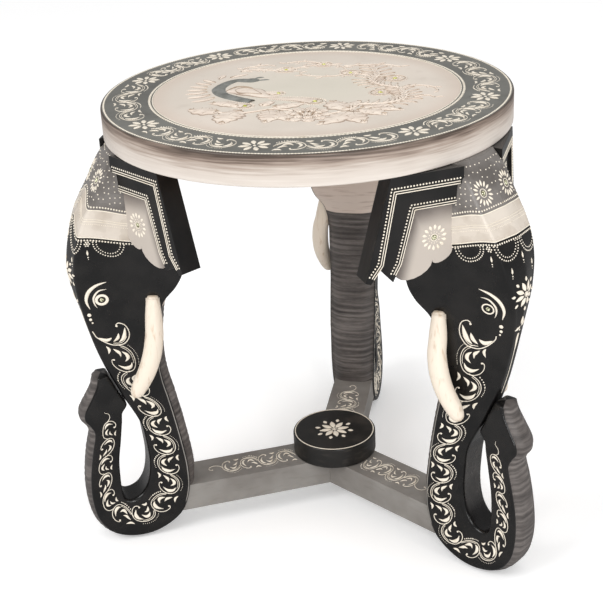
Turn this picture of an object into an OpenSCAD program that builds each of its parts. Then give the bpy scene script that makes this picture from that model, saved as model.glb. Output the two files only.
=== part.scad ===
// Round painted side table on three carved elephant-head legs, with a three-armed
// stretcher and a disc hub. Millimetres, +Z up. The origin lies on the floor under the
// middle of the table's bounding box, so the legs' axis stands at (0, axis_y) and the top's
// a little to -X of it. The back leg points along +Y, the front legs to 210 and 330 degrees.

/* [Overall] */
// Height from the floor to the painted face of the top
table_h = 463; // [450:1:475]

/* [Top board] */
// Diameter of the round top board
top_d = 406; // [398:1:420]
// Thickness of the top board
top_t = 30; // [26:1:36]
// How far the hand-fitted top stands off the legs' centre, along -X
top_shift = 4; // [0:1:8]
// Rounding of the top board's edges
top_round = 2; // [1:0.5:4]

/* [Legs] */
// Distance from the top's edge in to the flat back of each head
head_set = 55; // [50:1:60]
// How far the curled foot reaches out from the head's back
leg_reach = 117; // [112:1:120]
// Width of a head across its back
head_w = 84; // [80:1:90]
// Width of the forehead under the cap
brow_w = 60; // [56:1:64]
// Width of the trunk's ribbed inner face
trunk_w = 57; // [54:1:60]
// Width of the trunk's ribbed outer face near its tip
tip_w = 36; // [32:1:40]
// Clear gap between the curled tip and the trunk that it leans on
tip_gap = 1.5; // [1:0.25:2.5]
// How far the leg's corners are eased
corner_ease = 4; // [2:0.5:5]

/* [Ears] */
// Length of an ear board's upper edge, from the head to its outer edge
ear_l = 62; // [56:1:66]
// How much wider an ear board is at its foot than at its upper edge
ear_flare = 26; // [20:1:30]
// Height of an ear board down to its outer corner
ear_h = 95; // [90:1:100]
// Thickness of an ear board where it is thinnest
ear_t = 16; // [13:0.5:18]
// Height of each of the two carved steps on an ear's face
ear_step = 3; // [2:0.25:4]
// Distance from an ear's upper edge to its first carved step
ear_rim = 16; // [14:0.5:18]
// Distance from the first carved step to the second
ear_panel = 19; // [16:0.5:20]
// Angle between an ear board and the line out from the table's axis
ear_angle = 63; // [60:1:66]
// Distance from a leg's middle plane to the cheek plane that an ear butts against
ear_root = 29; // [26:0.5:30]

/* [Tusks] */
// Diameter of a tusk where it leaves the cheek
tusk_root_d = 14; // [12:0.5:15]
// Diameter of a tusk at its thickest
tusk_d = 19; // [18:0.5:20]
// Diameter of the peg that holds a tusk in the cheek
tusk_peg_d = 8; // [6:0.5:9]
// Length of that peg
tusk_peg_l = 14; // [10:1:18]
// Clearance round a tusk in the groove that it is let into
tusk_fit = 0.3; // [0.2:0.05:0.6]

/* [Stretcher] */
// Width of a stretcher arm
arm_w = 46; // [40:1:48]
// Height of a stretcher arm
arm_h = 30; // [28:1:32]
// Floor clearance under the arms
arm_lift = 24; // [22:1:26]
// Depth that an arm is let into the inner side of a trunk
arm_housing = 9; // [7:0.5:12]
// How far the hand-fitted hub stands off the table's axis, along +X
hub_shift = 10; // [0:1:16]
// Diameter of the hub disc
hub_d = 91; // [84:1:98]
// Thickness of the hub disc
hub_t = 23; // [20:1:28]
// Bevel round the hub disc's upper edge
hub_bevel = 1.5; // [0.5:0.5:3]

/* [Joinery] */
// Diameter of the wooden dowels
dowel_d = 8; // [6:0.5:9]
// Length of the dowels between top and legs
top_dowel_l = 40; // [32:1:44]
// Length of the dowels between arms and legs
arm_dowel_l = 36; // [30:1:40]
// Length of the dowels between ears and heads
ear_dowel_l = 26; // [22:1:28]
// Air left at the blind ends of a dowel or tusk peg
end_air = 0.5; // [0.25:0.25:0.75]
// Shank diameter of the wood screws
screw_d = 5; // [4:0.25:6]
// Head diameter of the wood screws
screw_head_d = 10; // [9:0.25:11]
// Length of the screws through the top, head included
top_screw_l = 70; // [55:1:80]
// Length of the screws under the hub, head included
hub_screw_l = 40; // [36:1:44]
// Depth of the wooden plug over a top screw
plug_depth = 8; // [5:0.5:10]

/* [Glass gems] */
// Diameter of the gems on caps, ears and top
gem_d = 5; // [4:0.25:5.5]
// Diameter of the gem in each eye
eye_gem_d = 4.5; // [3.5:0.25:5]
// Depth of a gem's seat
gem_seat = 1; // [0.6:0.1:1.4]
// Height of a gem's dome over its seat's rim
gem_dome = 1.4; // [1:0.1:1.8]

/* [Hidden] */
$fn = 48;

leg_h = table_h - top_t;
head_in = top_d / 2 - head_set;
FRONT_LEFT = 0;
FRONT_RIGHT = 1;
BACK = 2;
LEGS = [FRONT_LEFT, FRONT_RIGHT, BACK];
LEG_ANGLES = [210, 330, 90];
// Larger than the table, for cutting half spaces away
beyond = 2 * top_d;

// Half width of the keel in front of the trunk, and of the edge round the loop's hole
keel = 7;
hole_edge = 16;
// How far the head's back, the ribbed face down the trunk and round the foot, and the
// forehead swell
back_swell = 1;
rib_swell = 11;
foot_swell = 5;
brow_swell = 4;
hw = head_w / 2;
bw = brow_w / 2;
tw = trunk_w / 2;
ew = tip_w / 2;

// Front of the trunk where the curled tip leans on it: height, then distance out
TRUNK_FRONT = [[134, 60.5], [167, 73.5], [193, 83.5], [217, 91.5], [241, 97.5]];
function trunk_front(z) = lookup(z, TRUNK_FRONT);
function lip(z) = trunk_front(z) + tip_gap;

// Cross-sections from the top of the head down the trunk, round the foot and up the curled
// tip. Each row is the inner point (out, up), the outer point (out, up) and the half width
// at each of them. Out is counted from the head's back and up from the floor.
SECTIONS = [
    [0, 427, 52, 427, hw, bw],
    [0, 412, 65, 413, hw, bw],
    [0, 390, 78, 391, hw, bw],
    [0, 363, 94, 364, hw, bw * 0.95],
    [0, 337, 103, 338, hw, bw * 0.83],
    [2, 307, 107, 311, hw, bw * 0.58],
    [10, 289, 106, 287, hw * 0.93, bw * 0.37],
    [23, 271, 102, 263, hw * 0.74, keel + 1],
    [30, 249, trunk_front(241), 241, tw * 0.98, keel],
    [33, 221, trunk_front(217), 217, tw, keel],
    [32, 193, trunk_front(193), 193, tw, keel + 1],
    [26, 163, trunk_front(167), 167, tw, keel + 5],
    [20.5, 133, trunk_front(134), 134, tw, hole_edge],
    [16, 104, 58, 106, tw * 0.98, hole_edge],
    [13, 77, 57, 81, tw * 0.96, hole_edge],
    [14, 49, 61, 60, tw * 0.92, hole_edge],
    [24, 23, 68, 48, tw * 0.88, hole_edge],
    [47, 7, 75, 42.5, tw * 0.84, hole_edge],
    [72, 3, 83, 41.5, tw * 0.8, hole_edge],
    [97, 10, 88, 46, tw * 0.75, hole_edge],
    [112, 28, 89.5, 56, ew * 1.12, hole_edge - 1],
    [117, 52, 90, 72, ew * 1.06, hole_edge - 2],
    [116, 80, 89, 92, ew, hole_edge - 2],
    [111, 108, 84, 114, ew, hole_edge - 3],
    [106, 129, 79, 136, ew * 0.96, hole_edge - 3],
    [109, 139, 76, 147, ew * 0.93, hole_edge - 3],
    [114, 147, lip(156), 156, ew * 0.9, hole_edge - 3],
    [113, 156, lip(165), 165, ew * 0.87, hole_edge - 3],
    [106, 168, lip(175), 175, ew * 0.83, hole_edge - 3],
    [99, 180, lip(184), 184, ew * 0.78, hole_edge - 4],
    [96, 190, lip(191), 191, ew * 0.72, hole_edge - 5]];
last_section = len(SECTIONS) - 1;
// From the drawing to the leg's real reach and height
out_scale = leg_reach / max([for (s = SECTIONS) s[0]]);
up_scale = leg_h / SECTIONS[0][1];
// Sections of the brow, the chin, the ankle, the arm's height and each leg's hand-placed eyes
brow_section = 5;
chin_section = 8;
ankle_section = 14;
arm_section = 15;
EYE_SECTIONS = [6.4, 5.8, 6.1];
// Rings lofted from one cross-section to the next
ring_steps = 2;

// Smooth curve through b and c, with a before and d after them
function smooth(a, b, c, d, t) = 0.5 * (2 * b + (c - a) * t
    + (2 * a - 5 * b + 4 * c - d) * t * t + (3 * b - a - 3 * c + d) * t * t * t);

function section(u) =
    let (i = min(floor(u), last_section - 1),
        a = SECTIONS[max(i - 1, 0)],
        b = SECTIONS[i],
        c = SECTIONS[i + 1],
        d = SECTIONS[min(i + 2, last_section)])
    smooth(a, b, c, d, u - i);

// Point of section u in the leg's own frame: across is 0 at its inner and 1 at its outer
// end, and side is the distance from the leg's middle plane
function skin(u, across, side) =
    let (s = section(u))
    [head_in + (s[0] + (s[2] - s[0]) * across) * out_scale, side,
        (s[1] + (s[3] - s[1]) * across) * up_scale];
function section_width(u) =
    let (s = section(u))
    max(1, norm([s[2] - s[0], s[3] - s[1]]));
function ease(u) = min(corner_ease, section(u)[5] * 0.4, section_width(u) * 0.3);
function ramp(u, from, to) = min(1, max(0, (u - from) / (to - from)));
function swell_in(u) = back_swell
    + (rib_swell - back_swell) * ramp(u, brow_section, chin_section)
    - (rib_swell - foot_swell) * ramp(u, ankle_section, ankle_section + 2.5);
function swell_out(u) = brow_swell * (1 - ramp(u, brow_section, chin_section - 1));

// Points on the flank and on the front face
function flank(u, across) =
    let (s = section(u))
    skin(u, across, s[4] + (s[5] - s[4]) * across);
function front(u, side) =
    let (flat = section(u)[5] - ease(u))
    skin(u, 1 + swell_out(u) * (1 - abs(side) / flat) / section_width(u), side);

// Outline of section u, from the middle of its inner face round to the same place
function ring(u) =
    let (s = section(u),
        w = section_width(u),
        e = ease(u),
        half = [
            [-swell_in(u) / w, 0],
            [-swell_in(u) * 0.7 / w, s[4] * 0.5],
            [0, s[4] - e],
            [0.3 * e / w, s[4] - 0.3 * e],
            [e / w, s[4] + (s[5] - s[4]) * e / w],
            [0.5, (s[4] + s[5]) / 2],
            [1 - e / w, s[5] + (s[4] - s[5]) * e / w],
            [1 - 0.3 * e / w, s[5] - 0.3 * e],
            [1, s[5] - e],
            [1 + swell_out(u) / w, 0]],
        other_half = [for (i = [8:-1:1]) [half[i][0], -half[i][1]]])
    [for (p = concat(half, other_half)) skin(u, p[0], p[1])];

// Closed solid through rings that all have the same number of points
module loft(rings) {
    count = len(rings[0]);
    last = len(rings) - 1;
    walls = [for (i = [0:last - 1]) for (j = [0:count - 1])
        let (k = (j + 1) % count)
        each [[i * count + j, (i + 1) * count + k, i * count + k],
            [i * count + j, (i + 1) * count + j, (i + 1) * count + k]]];
    start = [for (j = [0:count - 1]) j];
    end = [for (j = [count - 1:-1:0]) last * count + j];
    polyhedron(points = [for (r = rings) each r], faces = concat(walls, [start, end]),
        convexity = 10);
}

// Turns +Z to the direction n and moves the origin to p
module aim(p, n) {
    translate(p)
        rotate([0, acos(n[2] / norm(n)), atan2(n[1], n[0])])
            children();
}

foot_reach = max([for (u = [chin_section:1 / ring_steps:last_section])
    max([for (p = ring(u)) p[0]])]);
// The top's axis, seen from the middle of the table's bounding box
axis_y = (top_d / 2 - foot_reach) / 2;
module on_axis() {
    translate([0, axis_y, 0]) children();
}
module at_leg(i) {
    rotate(LEG_ANGLES[i]) children();
}
// Both sides of a leg, side 1 to the left of its outward direction and side -1 to the right
SIDES = [1, -1];
module on_side(side) {
    mirror([0, side > 0 ? 0 : 1, 0]) children();
}

// An ear's front plane meets the head here: out, to the side
ear_seam = [head_in + SECTIONS[0][2] * out_scale, hw - ear_t / 2];
// Along is the direction in which an ear board leaves the head
ear_along = [-cos(ear_angle), sin(ear_angle)];
ear_out = [sin(ear_angle), cos(ear_angle)];
function ear_edge(drop) = ear_l + ear_flare * drop / ear_h;
// Width of the outermost panel beside the ear's outer edge, at the top and at the foot
rim_top = 10;
rim_foot = 14;
// Height of the slanted cut across a panel's foot
foot_slant = 14;
// The panels are drawn from this far inside the head, where the cheek plane cuts them
ear_start = -2 * ear_t;

// Corners of each step's edge, at the top and at the foot, as (along, down)
step_1_top = [ear_edge(ear_rim) - rim_top, ear_rim];
step_1_foot = [ear_edge(ear_h - foot_slant) - rim_foot, ear_h - foot_slant];
step_2_top = step_1_top + [-ear_panel, ear_panel];
step_2_foot = step_1_foot + [-ear_panel, 3];
outer_panel = [[ear_start, 0], [ear_l, 0], [ear_edge(ear_h), ear_h],
    [ear_edge(ear_h) - 5, ear_h + 2], step_1_foot, step_1_top, [ear_start, ear_rim]];
// The panels below reach a little under the one above
under = 2;
middle_panel = [[ear_start, 0], step_1_top + [under, -under], step_1_foot + [under, 5],
    step_1_foot + [-10, 19], step_1_foot + [-12, 15],
    step_2_foot, step_2_top, [ear_start, ear_rim + ear_panel]];

// One scallop of the flap from a to b, hanging deep below the line between them
function lobe(a, b, deep) = [for (k = [0:lobe_steps])
    let (t = k / lobe_steps)
    a + (b - a) * (1 - cos(180 * t)) / 2 + [0, deep * sin(180 * t)]];
// The flap's foot: at the head, at the notch between its lobes and under the second step
flap_root = [0, ear_h - 15];
flap_notch = [20, ear_h - 8];
flap_corner = step_2_foot + [5, 10];
outer_lobe = 11;
inner_lobe = 6;
lobe_steps = 8;
flap = concat([[ear_start, 0], step_2_top + [under, -under], flap_corner],
    lobe(flap_corner, flap_notch, outer_lobe),
    lobe(flap_notch, flap_root, inner_lobe),
    [[ear_start, flap_root[1]]]);

// Extrudes a panel drawn as (along, down), from the ear's back to this far before its plane
module ear_layer(proud) {
    translate([ear_seam[0], ear_seam[1], leg_h])
        rotate(180 - ear_angle)
            rotate([-90, 0, 0])
                translate([0, 0, -proud])
                    linear_extrude(proud + ear_t)
                        children();
}

module ear_board() {
    intersection() {
        union() {
            ear_layer(0) {
                polygon(flap);
                polygon(middle_panel);
                polygon(outer_panel);
            }
            ear_layer(ear_step) {
                polygon(middle_panel);
                polygon(outer_panel);
            }
            ear_layer(2 * ear_step)
                polygon(outer_panel);
        }
        translate([-beyond, ear_root, 0])
            cube(2 * beyond);
    }
}

// Middle of an ear's butt end, where its dowels cross from the head into the ear
butt_along = (ear_root - ear_seam[1] + ear_t / 2 * ear_out[1]) / ear_along[1];
butt = ear_seam + butt_along * ear_along - ear_t / 2 * ear_out;
EAR_DOWEL_DROPS = [ear_rim + 9, ear_h - 17];
module ear_dowel(air) {
    for (drop = EAR_DOWEL_DROPS)
        aim([butt[0], butt[1], leg_h - drop], [ear_along[0], ear_along[1], 0])
            cylinder(d = dowel_d, h = ear_dowel_l + 2 * air, center = true);
}

// Centre of the rosette on an ear's flap, as (along, down)
rosette = [18, ear_h - 30];
rosette_at = [ear_seam[0] + rosette[0] * ear_along[0], ear_seam[1] + rosette[0] * ear_along[1],
    leg_h - rosette[1]];

// Glass gem: a short cylinder in its seat with a low dome above the surface
module gem(d) {
    rounding = (d * d / 4 + gem_dome * gem_dome) / (2 * gem_dome);
    half = asin(d / 2 / rounding);
    rotate_extrude()
        polygon(concat([[0, -gem_seat], [d / 2, -gem_seat]],
            [for (k = [0:5]) let (a = half * (1 - k / 6))
                [rounding * sin(a), rounding * (cos(a) - cos(half))]],
            [[0, gem_dome]]));
}
module seat(d) {
    translate([0, 0, -gem_seat])
        cylinder(d = d, h = gem_seat + 2 * gem_dome);
}
// Places its children on the surface at p, where p_u and p_v lie beside p along the surface
module on_skin(p, p_u, p_v) {
    aim(p, cross(p_v - p, p_u - p)) children();
}
beside = 0.2;
eye_across = 0.75;
module on_eye(i) {
    at = EYE_SECTIONS[i];
    on_skin(flank(at, eye_across), flank(at, eye_across + beside),
        flank(at - beside, eye_across)) children();
}
cap_gem_section = 1.55;
cap_gem_side = 17;
module on_cap() {
    on_skin(front(cap_gem_section, cap_gem_side), front(cap_gem_section, cap_gem_side + 1),
        front(cap_gem_section + beside, cap_gem_side)) children();
}
module on_rosette() {
    aim(rosette_at, [ear_out[0], ear_out[1], 0]) children();
}

// Point of a leg's drawing: out from the head's back, to the side, up from the floor
function drawn(out, side, up) = [head_in + out * out_scale, side, up * up_scale];

// A tusk's straight root runs from deep in the cheek to where it leaves its groove
tusk_top = drawn(33, tw - 0.5, 288);
tusk_leave = drawn(36, tw + 0.93 * tusk_root_d / 2, 251);
tusk_root_l = norm(tusk_leave - tusk_top);
tusk_way = (tusk_leave - tusk_top) / tusk_root_l;
tusk_r = tusk_d / 2;
// Middle of the tusk and its radius, from the swelling at its root down to the tip
TUSK = concat(
    [for (t = [0.8, 1]) [tusk_top + (tusk_leave - tusk_top) * t, tusk_root_d * (0.38 + 0.2 * t)]],
    [[drawn(37.5, tw + 1.05 * tusk_r, 240), tusk_r * 0.97],
    [drawn(41.5, tw + 1.26 * tusk_r, 223), tusk_r],
    [drawn(48, tw + 1.26 * tusk_r, 206), tusk_r * 0.97],
    [drawn(55.5, tw + 1.0 * tusk_r, 191), tusk_r * 0.9],
    [drawn(60, tw + 0.8 * tusk_r, 182), tusk_r * 0.74],
    [drawn(62, tw + 0.7 * tusk_r, 178), tusk_r * 0.52],
    [drawn(63, tw + 0.65 * tusk_r, 176), tusk_r * 0.18]]);
tusk_sides = 16;
tusk_end = len(TUSK) - 1;
function tusk_part(u, k) =
    let (i = min(floor(u), tusk_end - 1))
    smooth(TUSK[max(i - 1, 0)][k], TUSK[i][k], TUSK[i + 1][k],
        TUSK[min(i + 2, tusk_end)][k], u - i);
function tusk_ring(u) =
    let (way = tusk_part(min(u + 0.1, tusk_end), 0) - tusk_part(max(u - 0.1, 0), 0),
        right = cross(way, [0, 1, 0]) / norm(cross(way, [0, 1, 0])),
        up = cross(way, right) / norm(way))
    [for (k = [0:tusk_sides - 1])
        let (a = 360 * k / tusk_sides)
        tusk_part(u, 0) + tusk_part(u, 1) * (right * cos(a) + up * sin(a))];

// The peg starts half way down the root, so that both are one piece
module tusk_peg(air) {
    aim((tusk_top + tusk_leave) / 2, -tusk_way)
        cylinder(d = tusk_peg_d, h = tusk_root_l / 2 + tusk_peg_l + air);
}
module tusk() {
    tusk_peg(0);
    aim(tusk_top, tusk_way)
        cylinder(d = tusk_root_d, h = tusk_root_l * 0.9);
    loft([for (u = [0:0.5:tusk_end]) tusk_ring(u)]);
}
module tusk_groove() {
    tusk_peg(end_air);
    aim(tusk_top, tusk_way) {
        cylinder(d = tusk_root_d + 2 * tusk_fit, h = tusk_root_l);
        translate([0, 0, tusk_root_l * 0.7])
            cylinder(d = tusk_d + 4 * tusk_fit, h = tusk_root_l);
    }
}

// Hub point, arm ends and the directions of the arms
hub = [hub_shift, 0];
arm_reach = head_in + SECTIONS[arm_section][0] * out_scale + arm_housing;
function arm_end(i) = arm_reach * [cos(LEG_ANGLES[i]), sin(LEG_ANGLES[i])];
function arm_length(i) = norm(arm_end(i) - hub);
function arm_way(i) = (arm_end(i) - hub) / arm_length(i);
function arm_turn(i) = atan2(arm_way(i)[1], arm_way(i)[0]);
// Where the sides of arm i and the next arm round the hub meet
function mitre(i) =
    let (next = (i + 1) % 3,
        between = (arm_turn(next) - arm_turn(i) + 360) % 360,
        middle = arm_turn(i) + between / 2)
    hub + arm_w / 2 / sin(between / 2) * [cos(middle), sin(middle)];

ARM_DOWEL_SIDES = [-arm_w / 4, arm_w / 4];
hub_screw_out = 18;
module arm_block(i) {
    side = arm_w / 2 * [-arm_way(i)[1], arm_way(i)[0]];
    translate([0, 0, arm_lift])
        linear_extrude(arm_h)
            polygon([hub, mitre((i + 2) % 3), arm_end(i) - side, arm_end(i) + side, mitre(i)]);
}
module arm_dowel(i, air) {
    for (side = ARM_DOWEL_SIDES)
        translate([arm_end(i)[0], arm_end(i)[1], arm_lift + arm_h / 2])
            rotate(arm_turn(i))
                translate([0, side, 0])
                    rotate([0, 90, 0])
                        cylinder(d = dowel_d, h = arm_dowel_l + 2 * air, center = true);
}
// A countersunk wood screw that points along +Z, with its flat head at the origin
screw_head_h = (screw_head_d - screw_d) / 2;
module screw(l) {
    rotate_extrude()
        polygon([[0, 0], [screw_head_d / 2, 0], [screw_d / 2, screw_head_h],
            [screw_d / 2, l - screw_d], [0, l]]);
}
module hub_screw(i) {
    at = hub + hub_screw_out * arm_way(i);
    translate([at[0], at[1], arm_lift])
        screw(hub_screw_l);
}

top_screw_out = head_in + 14;
top_dowel_out = head_in + 28;
top_dowel_side = head_w / 4;
plug_d = screw_head_d + 2;
module top_dowel(i, air) {
    at_leg(i)
        for (side = [-top_dowel_side, top_dowel_side])
            translate([top_dowel_out, side, leg_h])
                cylinder(d = dowel_d, h = top_dowel_l + 2 * air, center = true);
}
module top_screw(i) {
    at_leg(i)
        translate([top_screw_out, 0, table_h - plug_depth])
            rotate([180, 0, 0])
                screw(top_screw_l);
}
module top_plug(i) {
    at_leg(i)
        translate([top_screw_out, 0, table_h - plug_depth])
            cylinder(d = plug_d, h = plug_depth);
}
// Gems on the top board, from its middle: the bird's eye, three on its tail and five in
// the garland
TOP_GEMS = [[-68, 28], [-47, -60], [-25, -15], [17, -40],
    [75, -5], [81, 47], [32, 65], [-3, 97], [-38, 73]];
module on_top(at) {
    translate([at[0] - top_shift, at[1], table_h]) children();
}

module top_board() {
    r = top_d / 2;
    corner = [r - top_round, top_t - top_round];
    rotate_extrude($fn = 120)
        polygon(concat([[0, 0]],
            [for (k = [0:4]) let (a = -90 + 22.5 * k)
                [corner[0] + top_round * cos(a), top_round + top_round * sin(a)]],
            [for (k = [0:4]) let (a = 22.5 * k)
                [corner[0] + top_round * cos(a), corner[1] + top_round * sin(a)]],
            [[0, top_t]]));
}

module leg(i) {
    on_axis() difference() {
        at_leg(i) difference() {
            loft([for (u = [0:1 / ring_steps:last_section]) ring(u)]);
            translate([0, -beyond / 2, -beyond])
                cube(beyond);
            for (side = SIDES)
                on_side(side) {
                    ear_board();
                    ear_dowel(end_air);
                    tusk_groove();
                    on_eye(i) seat(eye_gem_d);
                    on_cap() seat(gem_d);
                }
        }
        arm_block(i);
        arm_dowel(i, end_air);
        top_dowel(i, end_air);
        top_screw(i);
    }
}
module ear(i, side) {
    on_axis() at_leg(i) on_side(side) difference() {
        ear_board();
        ear_dowel(end_air);
        on_rosette() seat(gem_d);
    }
}
module arm(i) {
    on_axis() difference() {
        arm_block(i);
        arm_dowel(i, end_air);
        hub_screw(i);
    }
}

module table_top() {
    color("#d9cfc0") on_axis() difference() {
        translate([-top_shift, 0, leg_h]) top_board();
        for (i = LEGS) {
            top_dowel(i, end_air);
            top_screw(i);
            top_plug(i);
        }
        for (at = TOP_GEMS)
            on_top(at) seat(gem_d);
    }
}
module top_plugs() {
    color("#55504e") on_axis() for (i = LEGS) top_plug(i);
}
module top_screws() {
    color("#b9b4a6") on_axis() for (i = LEGS) top_screw(i);
}
module top_dowels() {
    color("#d8b98a") on_axis() for (i = LEGS) top_dowel(i, 0);
}
module leg_front_left() {
    color("#1e1b1c") leg(FRONT_LEFT);
}
module leg_front_right() {
    color("#1e1b1c") leg(FRONT_RIGHT);
}
module leg_back() {
    color("#1e1b1c") leg(BACK);
}
module ear_front_left_a() {
    color("#2a2627") ear(FRONT_LEFT, 1);
}
module ear_front_left_b() {
    color("#2a2627") ear(FRONT_LEFT, -1);
}
module ear_front_right_a() {
    color("#2a2627") ear(FRONT_RIGHT, 1);
}
module ear_front_right_b() {
    color("#2a2627") ear(FRONT_RIGHT, -1);
}
module ear_back_a() {
    color("#2a2627") ear(BACK, 1);
}
module ear_back_b() {
    color("#2a2627") ear(BACK, -1);
}
module ear_dowels() {
    color("#d8b98a") on_axis() for (i = LEGS) at_leg(i)
        for (side = SIDES) on_side(side) ear_dowel(0);
}
module tusk_front_left_a() {
    color("#efe3c8") on_axis() at_leg(FRONT_LEFT) on_side(1) tusk();
}
module tusk_front_left_b() {
    color("#efe3c8") on_axis() at_leg(FRONT_LEFT) on_side(-1) tusk();
}
module tusk_front_right_a() {
    color("#efe3c8") on_axis() at_leg(FRONT_RIGHT) on_side(1) tusk();
}
module tusk_front_right_b() {
    color("#efe3c8") on_axis() at_leg(FRONT_RIGHT) on_side(-1) tusk();
}
module tusk_back_a() {
    color("#efe3c8") on_axis() at_leg(BACK) on_side(1) tusk();
}
module tusk_back_b() {
    color("#efe3c8") on_axis() at_leg(BACK) on_side(-1) tusk();
}
module arm_front_left() {
    color("#87807b") arm(FRONT_LEFT);
}
module arm_front_right() {
    color("#87807b") arm(FRONT_RIGHT);
}
module arm_back() {
    color("#87807b") arm(BACK);
}
module arm_dowels() {
    color("#d8b98a") on_axis() for (i = LEGS) arm_dowel(i, 0);
}
module hub_disc() {
    r = hub_d / 2;
    color("#1c1a1b") on_axis() difference() {
        translate([hub[0], hub[1], arm_lift + arm_h])
            rotate_extrude($fn = 96)
                polygon([[0, 0], [r - hub_bevel, 0], [r, hub_bevel], [r, hub_t - hub_bevel],
                    [r - hub_bevel, hub_t], [0, hub_t]]);
        for (i = LEGS) hub_screw(i);
    }
}
module hub_screws() {
    color("#b9b4a6") on_axis() for (i = LEGS) hub_screw(i);
}
module top_gems() {
    color("#d5d870") on_axis() for (at = TOP_GEMS) on_top(at) gem(gem_d);
}
module cap_gems() {
    color("#e4e6da") on_axis() for (i = LEGS) at_leg(i)
        for (side = SIDES) on_side(side) on_cap() gem(gem_d);
}
module ear_gems() {
    color("#e4e6da") on_axis() for (i = LEGS) at_leg(i)
        for (side = SIDES) on_side(side) on_rosette() gem(gem_d);
}
module eye_gems() {
    color("#e4e6da") on_axis() for (i = LEGS) at_leg(i)
        for (side = SIDES) on_side(side) on_eye(i) gem(eye_gem_d);
}

table_top();
top_plugs();
top_screws();
top_dowels();
leg_front_left();
leg_front_right();
leg_back();
ear_front_left_a();
ear_front_left_b();
ear_front_right_a();
ear_front_right_b();
ear_back_a();
ear_back_b();
ear_dowels();
tusk_front_left_a();
tusk_front_left_b();
tusk_front_right_a();
tusk_front_right_b();
tusk_back_a();
tusk_back_b();
arm_front_left();
arm_front_right();
arm_back();
arm_dowels();
hub_disc();
hub_screws();
top_gems();
cap_gems();
ear_gems();
eye_gems();
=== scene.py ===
"""Painted side table: a round relief-painted top on three carved elephant-head legs."""

import bmesh
import bpy
import numpy as np
from mathutils import Matrix, Vector


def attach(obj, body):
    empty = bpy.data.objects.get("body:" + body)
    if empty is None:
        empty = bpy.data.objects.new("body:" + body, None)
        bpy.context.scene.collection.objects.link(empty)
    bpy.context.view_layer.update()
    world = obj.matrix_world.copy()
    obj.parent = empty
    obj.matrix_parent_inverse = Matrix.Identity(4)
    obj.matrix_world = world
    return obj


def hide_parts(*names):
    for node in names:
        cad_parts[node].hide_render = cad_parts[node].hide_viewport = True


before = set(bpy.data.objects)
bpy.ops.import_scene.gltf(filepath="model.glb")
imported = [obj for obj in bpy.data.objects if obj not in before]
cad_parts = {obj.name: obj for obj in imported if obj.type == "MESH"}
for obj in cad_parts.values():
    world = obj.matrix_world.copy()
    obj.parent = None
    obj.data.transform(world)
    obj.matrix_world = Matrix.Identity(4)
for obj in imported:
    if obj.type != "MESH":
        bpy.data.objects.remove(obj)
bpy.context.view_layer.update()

# ---- The view: a camera at the photograph's place, a pale floor and soft daylight.
# The table stands alone on a white sheet that runs past the picture's edges.

MM = 0.001
TAU = 2 * np.pi


def srgb(red, green, blue):
    """Linear RGBA of a colour given as it shows on screen, 0 to 255."""
    shown = np.array([red, green, blue]) / 255
    linear = np.where(shown < 0.04045, shown / 12.92, ((shown + 0.055) / 1.055) ** 2.4)
    return tuple(linear) + (1.0,)


class Wire:
    """An output of a material's nodes, or without a socket only a place to add nodes from.
    Arithmetic between values adds Math nodes."""

    def __init__(self, tree, socket=None):
        self.tree = tree
        self.socket = socket

    def node(self, kind, settings=None, inputs=None, out=0):
        """Adds a node: its settings are set first, then its inputs' values or links."""
        made = self.tree.nodes.new("ShaderNode" + kind)
        for name, value in (settings or {}).items():
            if name == "stops":
                ramp = made.color_ramp.elements
                while len(ramp) < len(value):
                    ramp.new(0.5)
                for stop, (at, colour) in zip(ramp, value):
                    stop.position = at
                    stop.color = colour
            else:
                setattr(made, name, value)
        for name, value in (inputs or {}).items():
            if isinstance(value, Wire):
                self.tree.links.new(value.socket, made.inputs[name])
            else:
                made.inputs[name].default_value = value
        return Wire(self.tree, made.outputs[out])

    def maths(self, operation, *others):
        """The result of a Math node on this value and the others."""
        values = (self,) + others
        return self.node("Math", {"operation": operation}, dict(enumerate(values)))

    def __add__(self, other):
        return self.maths("ADD", other)

    __radd__ = __add__

    def __sub__(self, other):
        return self.maths("SUBTRACT", other)

    def __rsub__(self, other):
        return self.node("Math", {"operation": "SUBTRACT"}, {0: other, 1: self})

    def __mul__(self, other):
        return self.maths("MULTIPLY", other)

    def __truediv__(self, other):
        return self.maths("DIVIDE", other)

    def step(self, low, high):
        """0 below low, 1 above high and an even slope between; low may be the larger."""
        return self.node("MapRange", {"interpolation_type": "SMOOTHSTEP"},
                         {"Value": self, "From Min": low, "From Max": high})

    def mix(self, colour_0, colour_1):
        """The first colour where this value is 0 and the second where it is 1."""
        return self.node("Mix", {"data_type": "RGBA"}, {0: self, 6: colour_0, 7: colour_1}, 2)

    def parts(self):
        """The three parts of a vector."""
        return [self.node("SeparateXYZ", None, {0: self}, k) for k in range(3)]

    def read(self, name):
        """Three numbers that each point of the piece's mesh carries."""
        return self.node("Attribute", {"attribute_name": name}, None, "Vector")

    def place(self):
        """Object coordinates, in metres."""
        return self.node("TexCoord", None, None, "Object")

    def noise(self, where, scale, detail=3.0):
        """Soft clouds from 0 to 1, about scale of them along one unit of where."""
        return self.node("TexNoise", None, {"Vector": where, "Scale": scale, "Detail": detail})

    def stretched(self, by):
        """A vector times another, part by part."""
        return self.node("VectorMath", {"operation": "MULTIPLY"}, {0: self, 1: by})

    def bump(self, distance, strength=0.5):
        """A normal from this height."""
        return self.node("Bump", None, {"Height": self, "Distance": distance,
                                        "Strength": strength})


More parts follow.
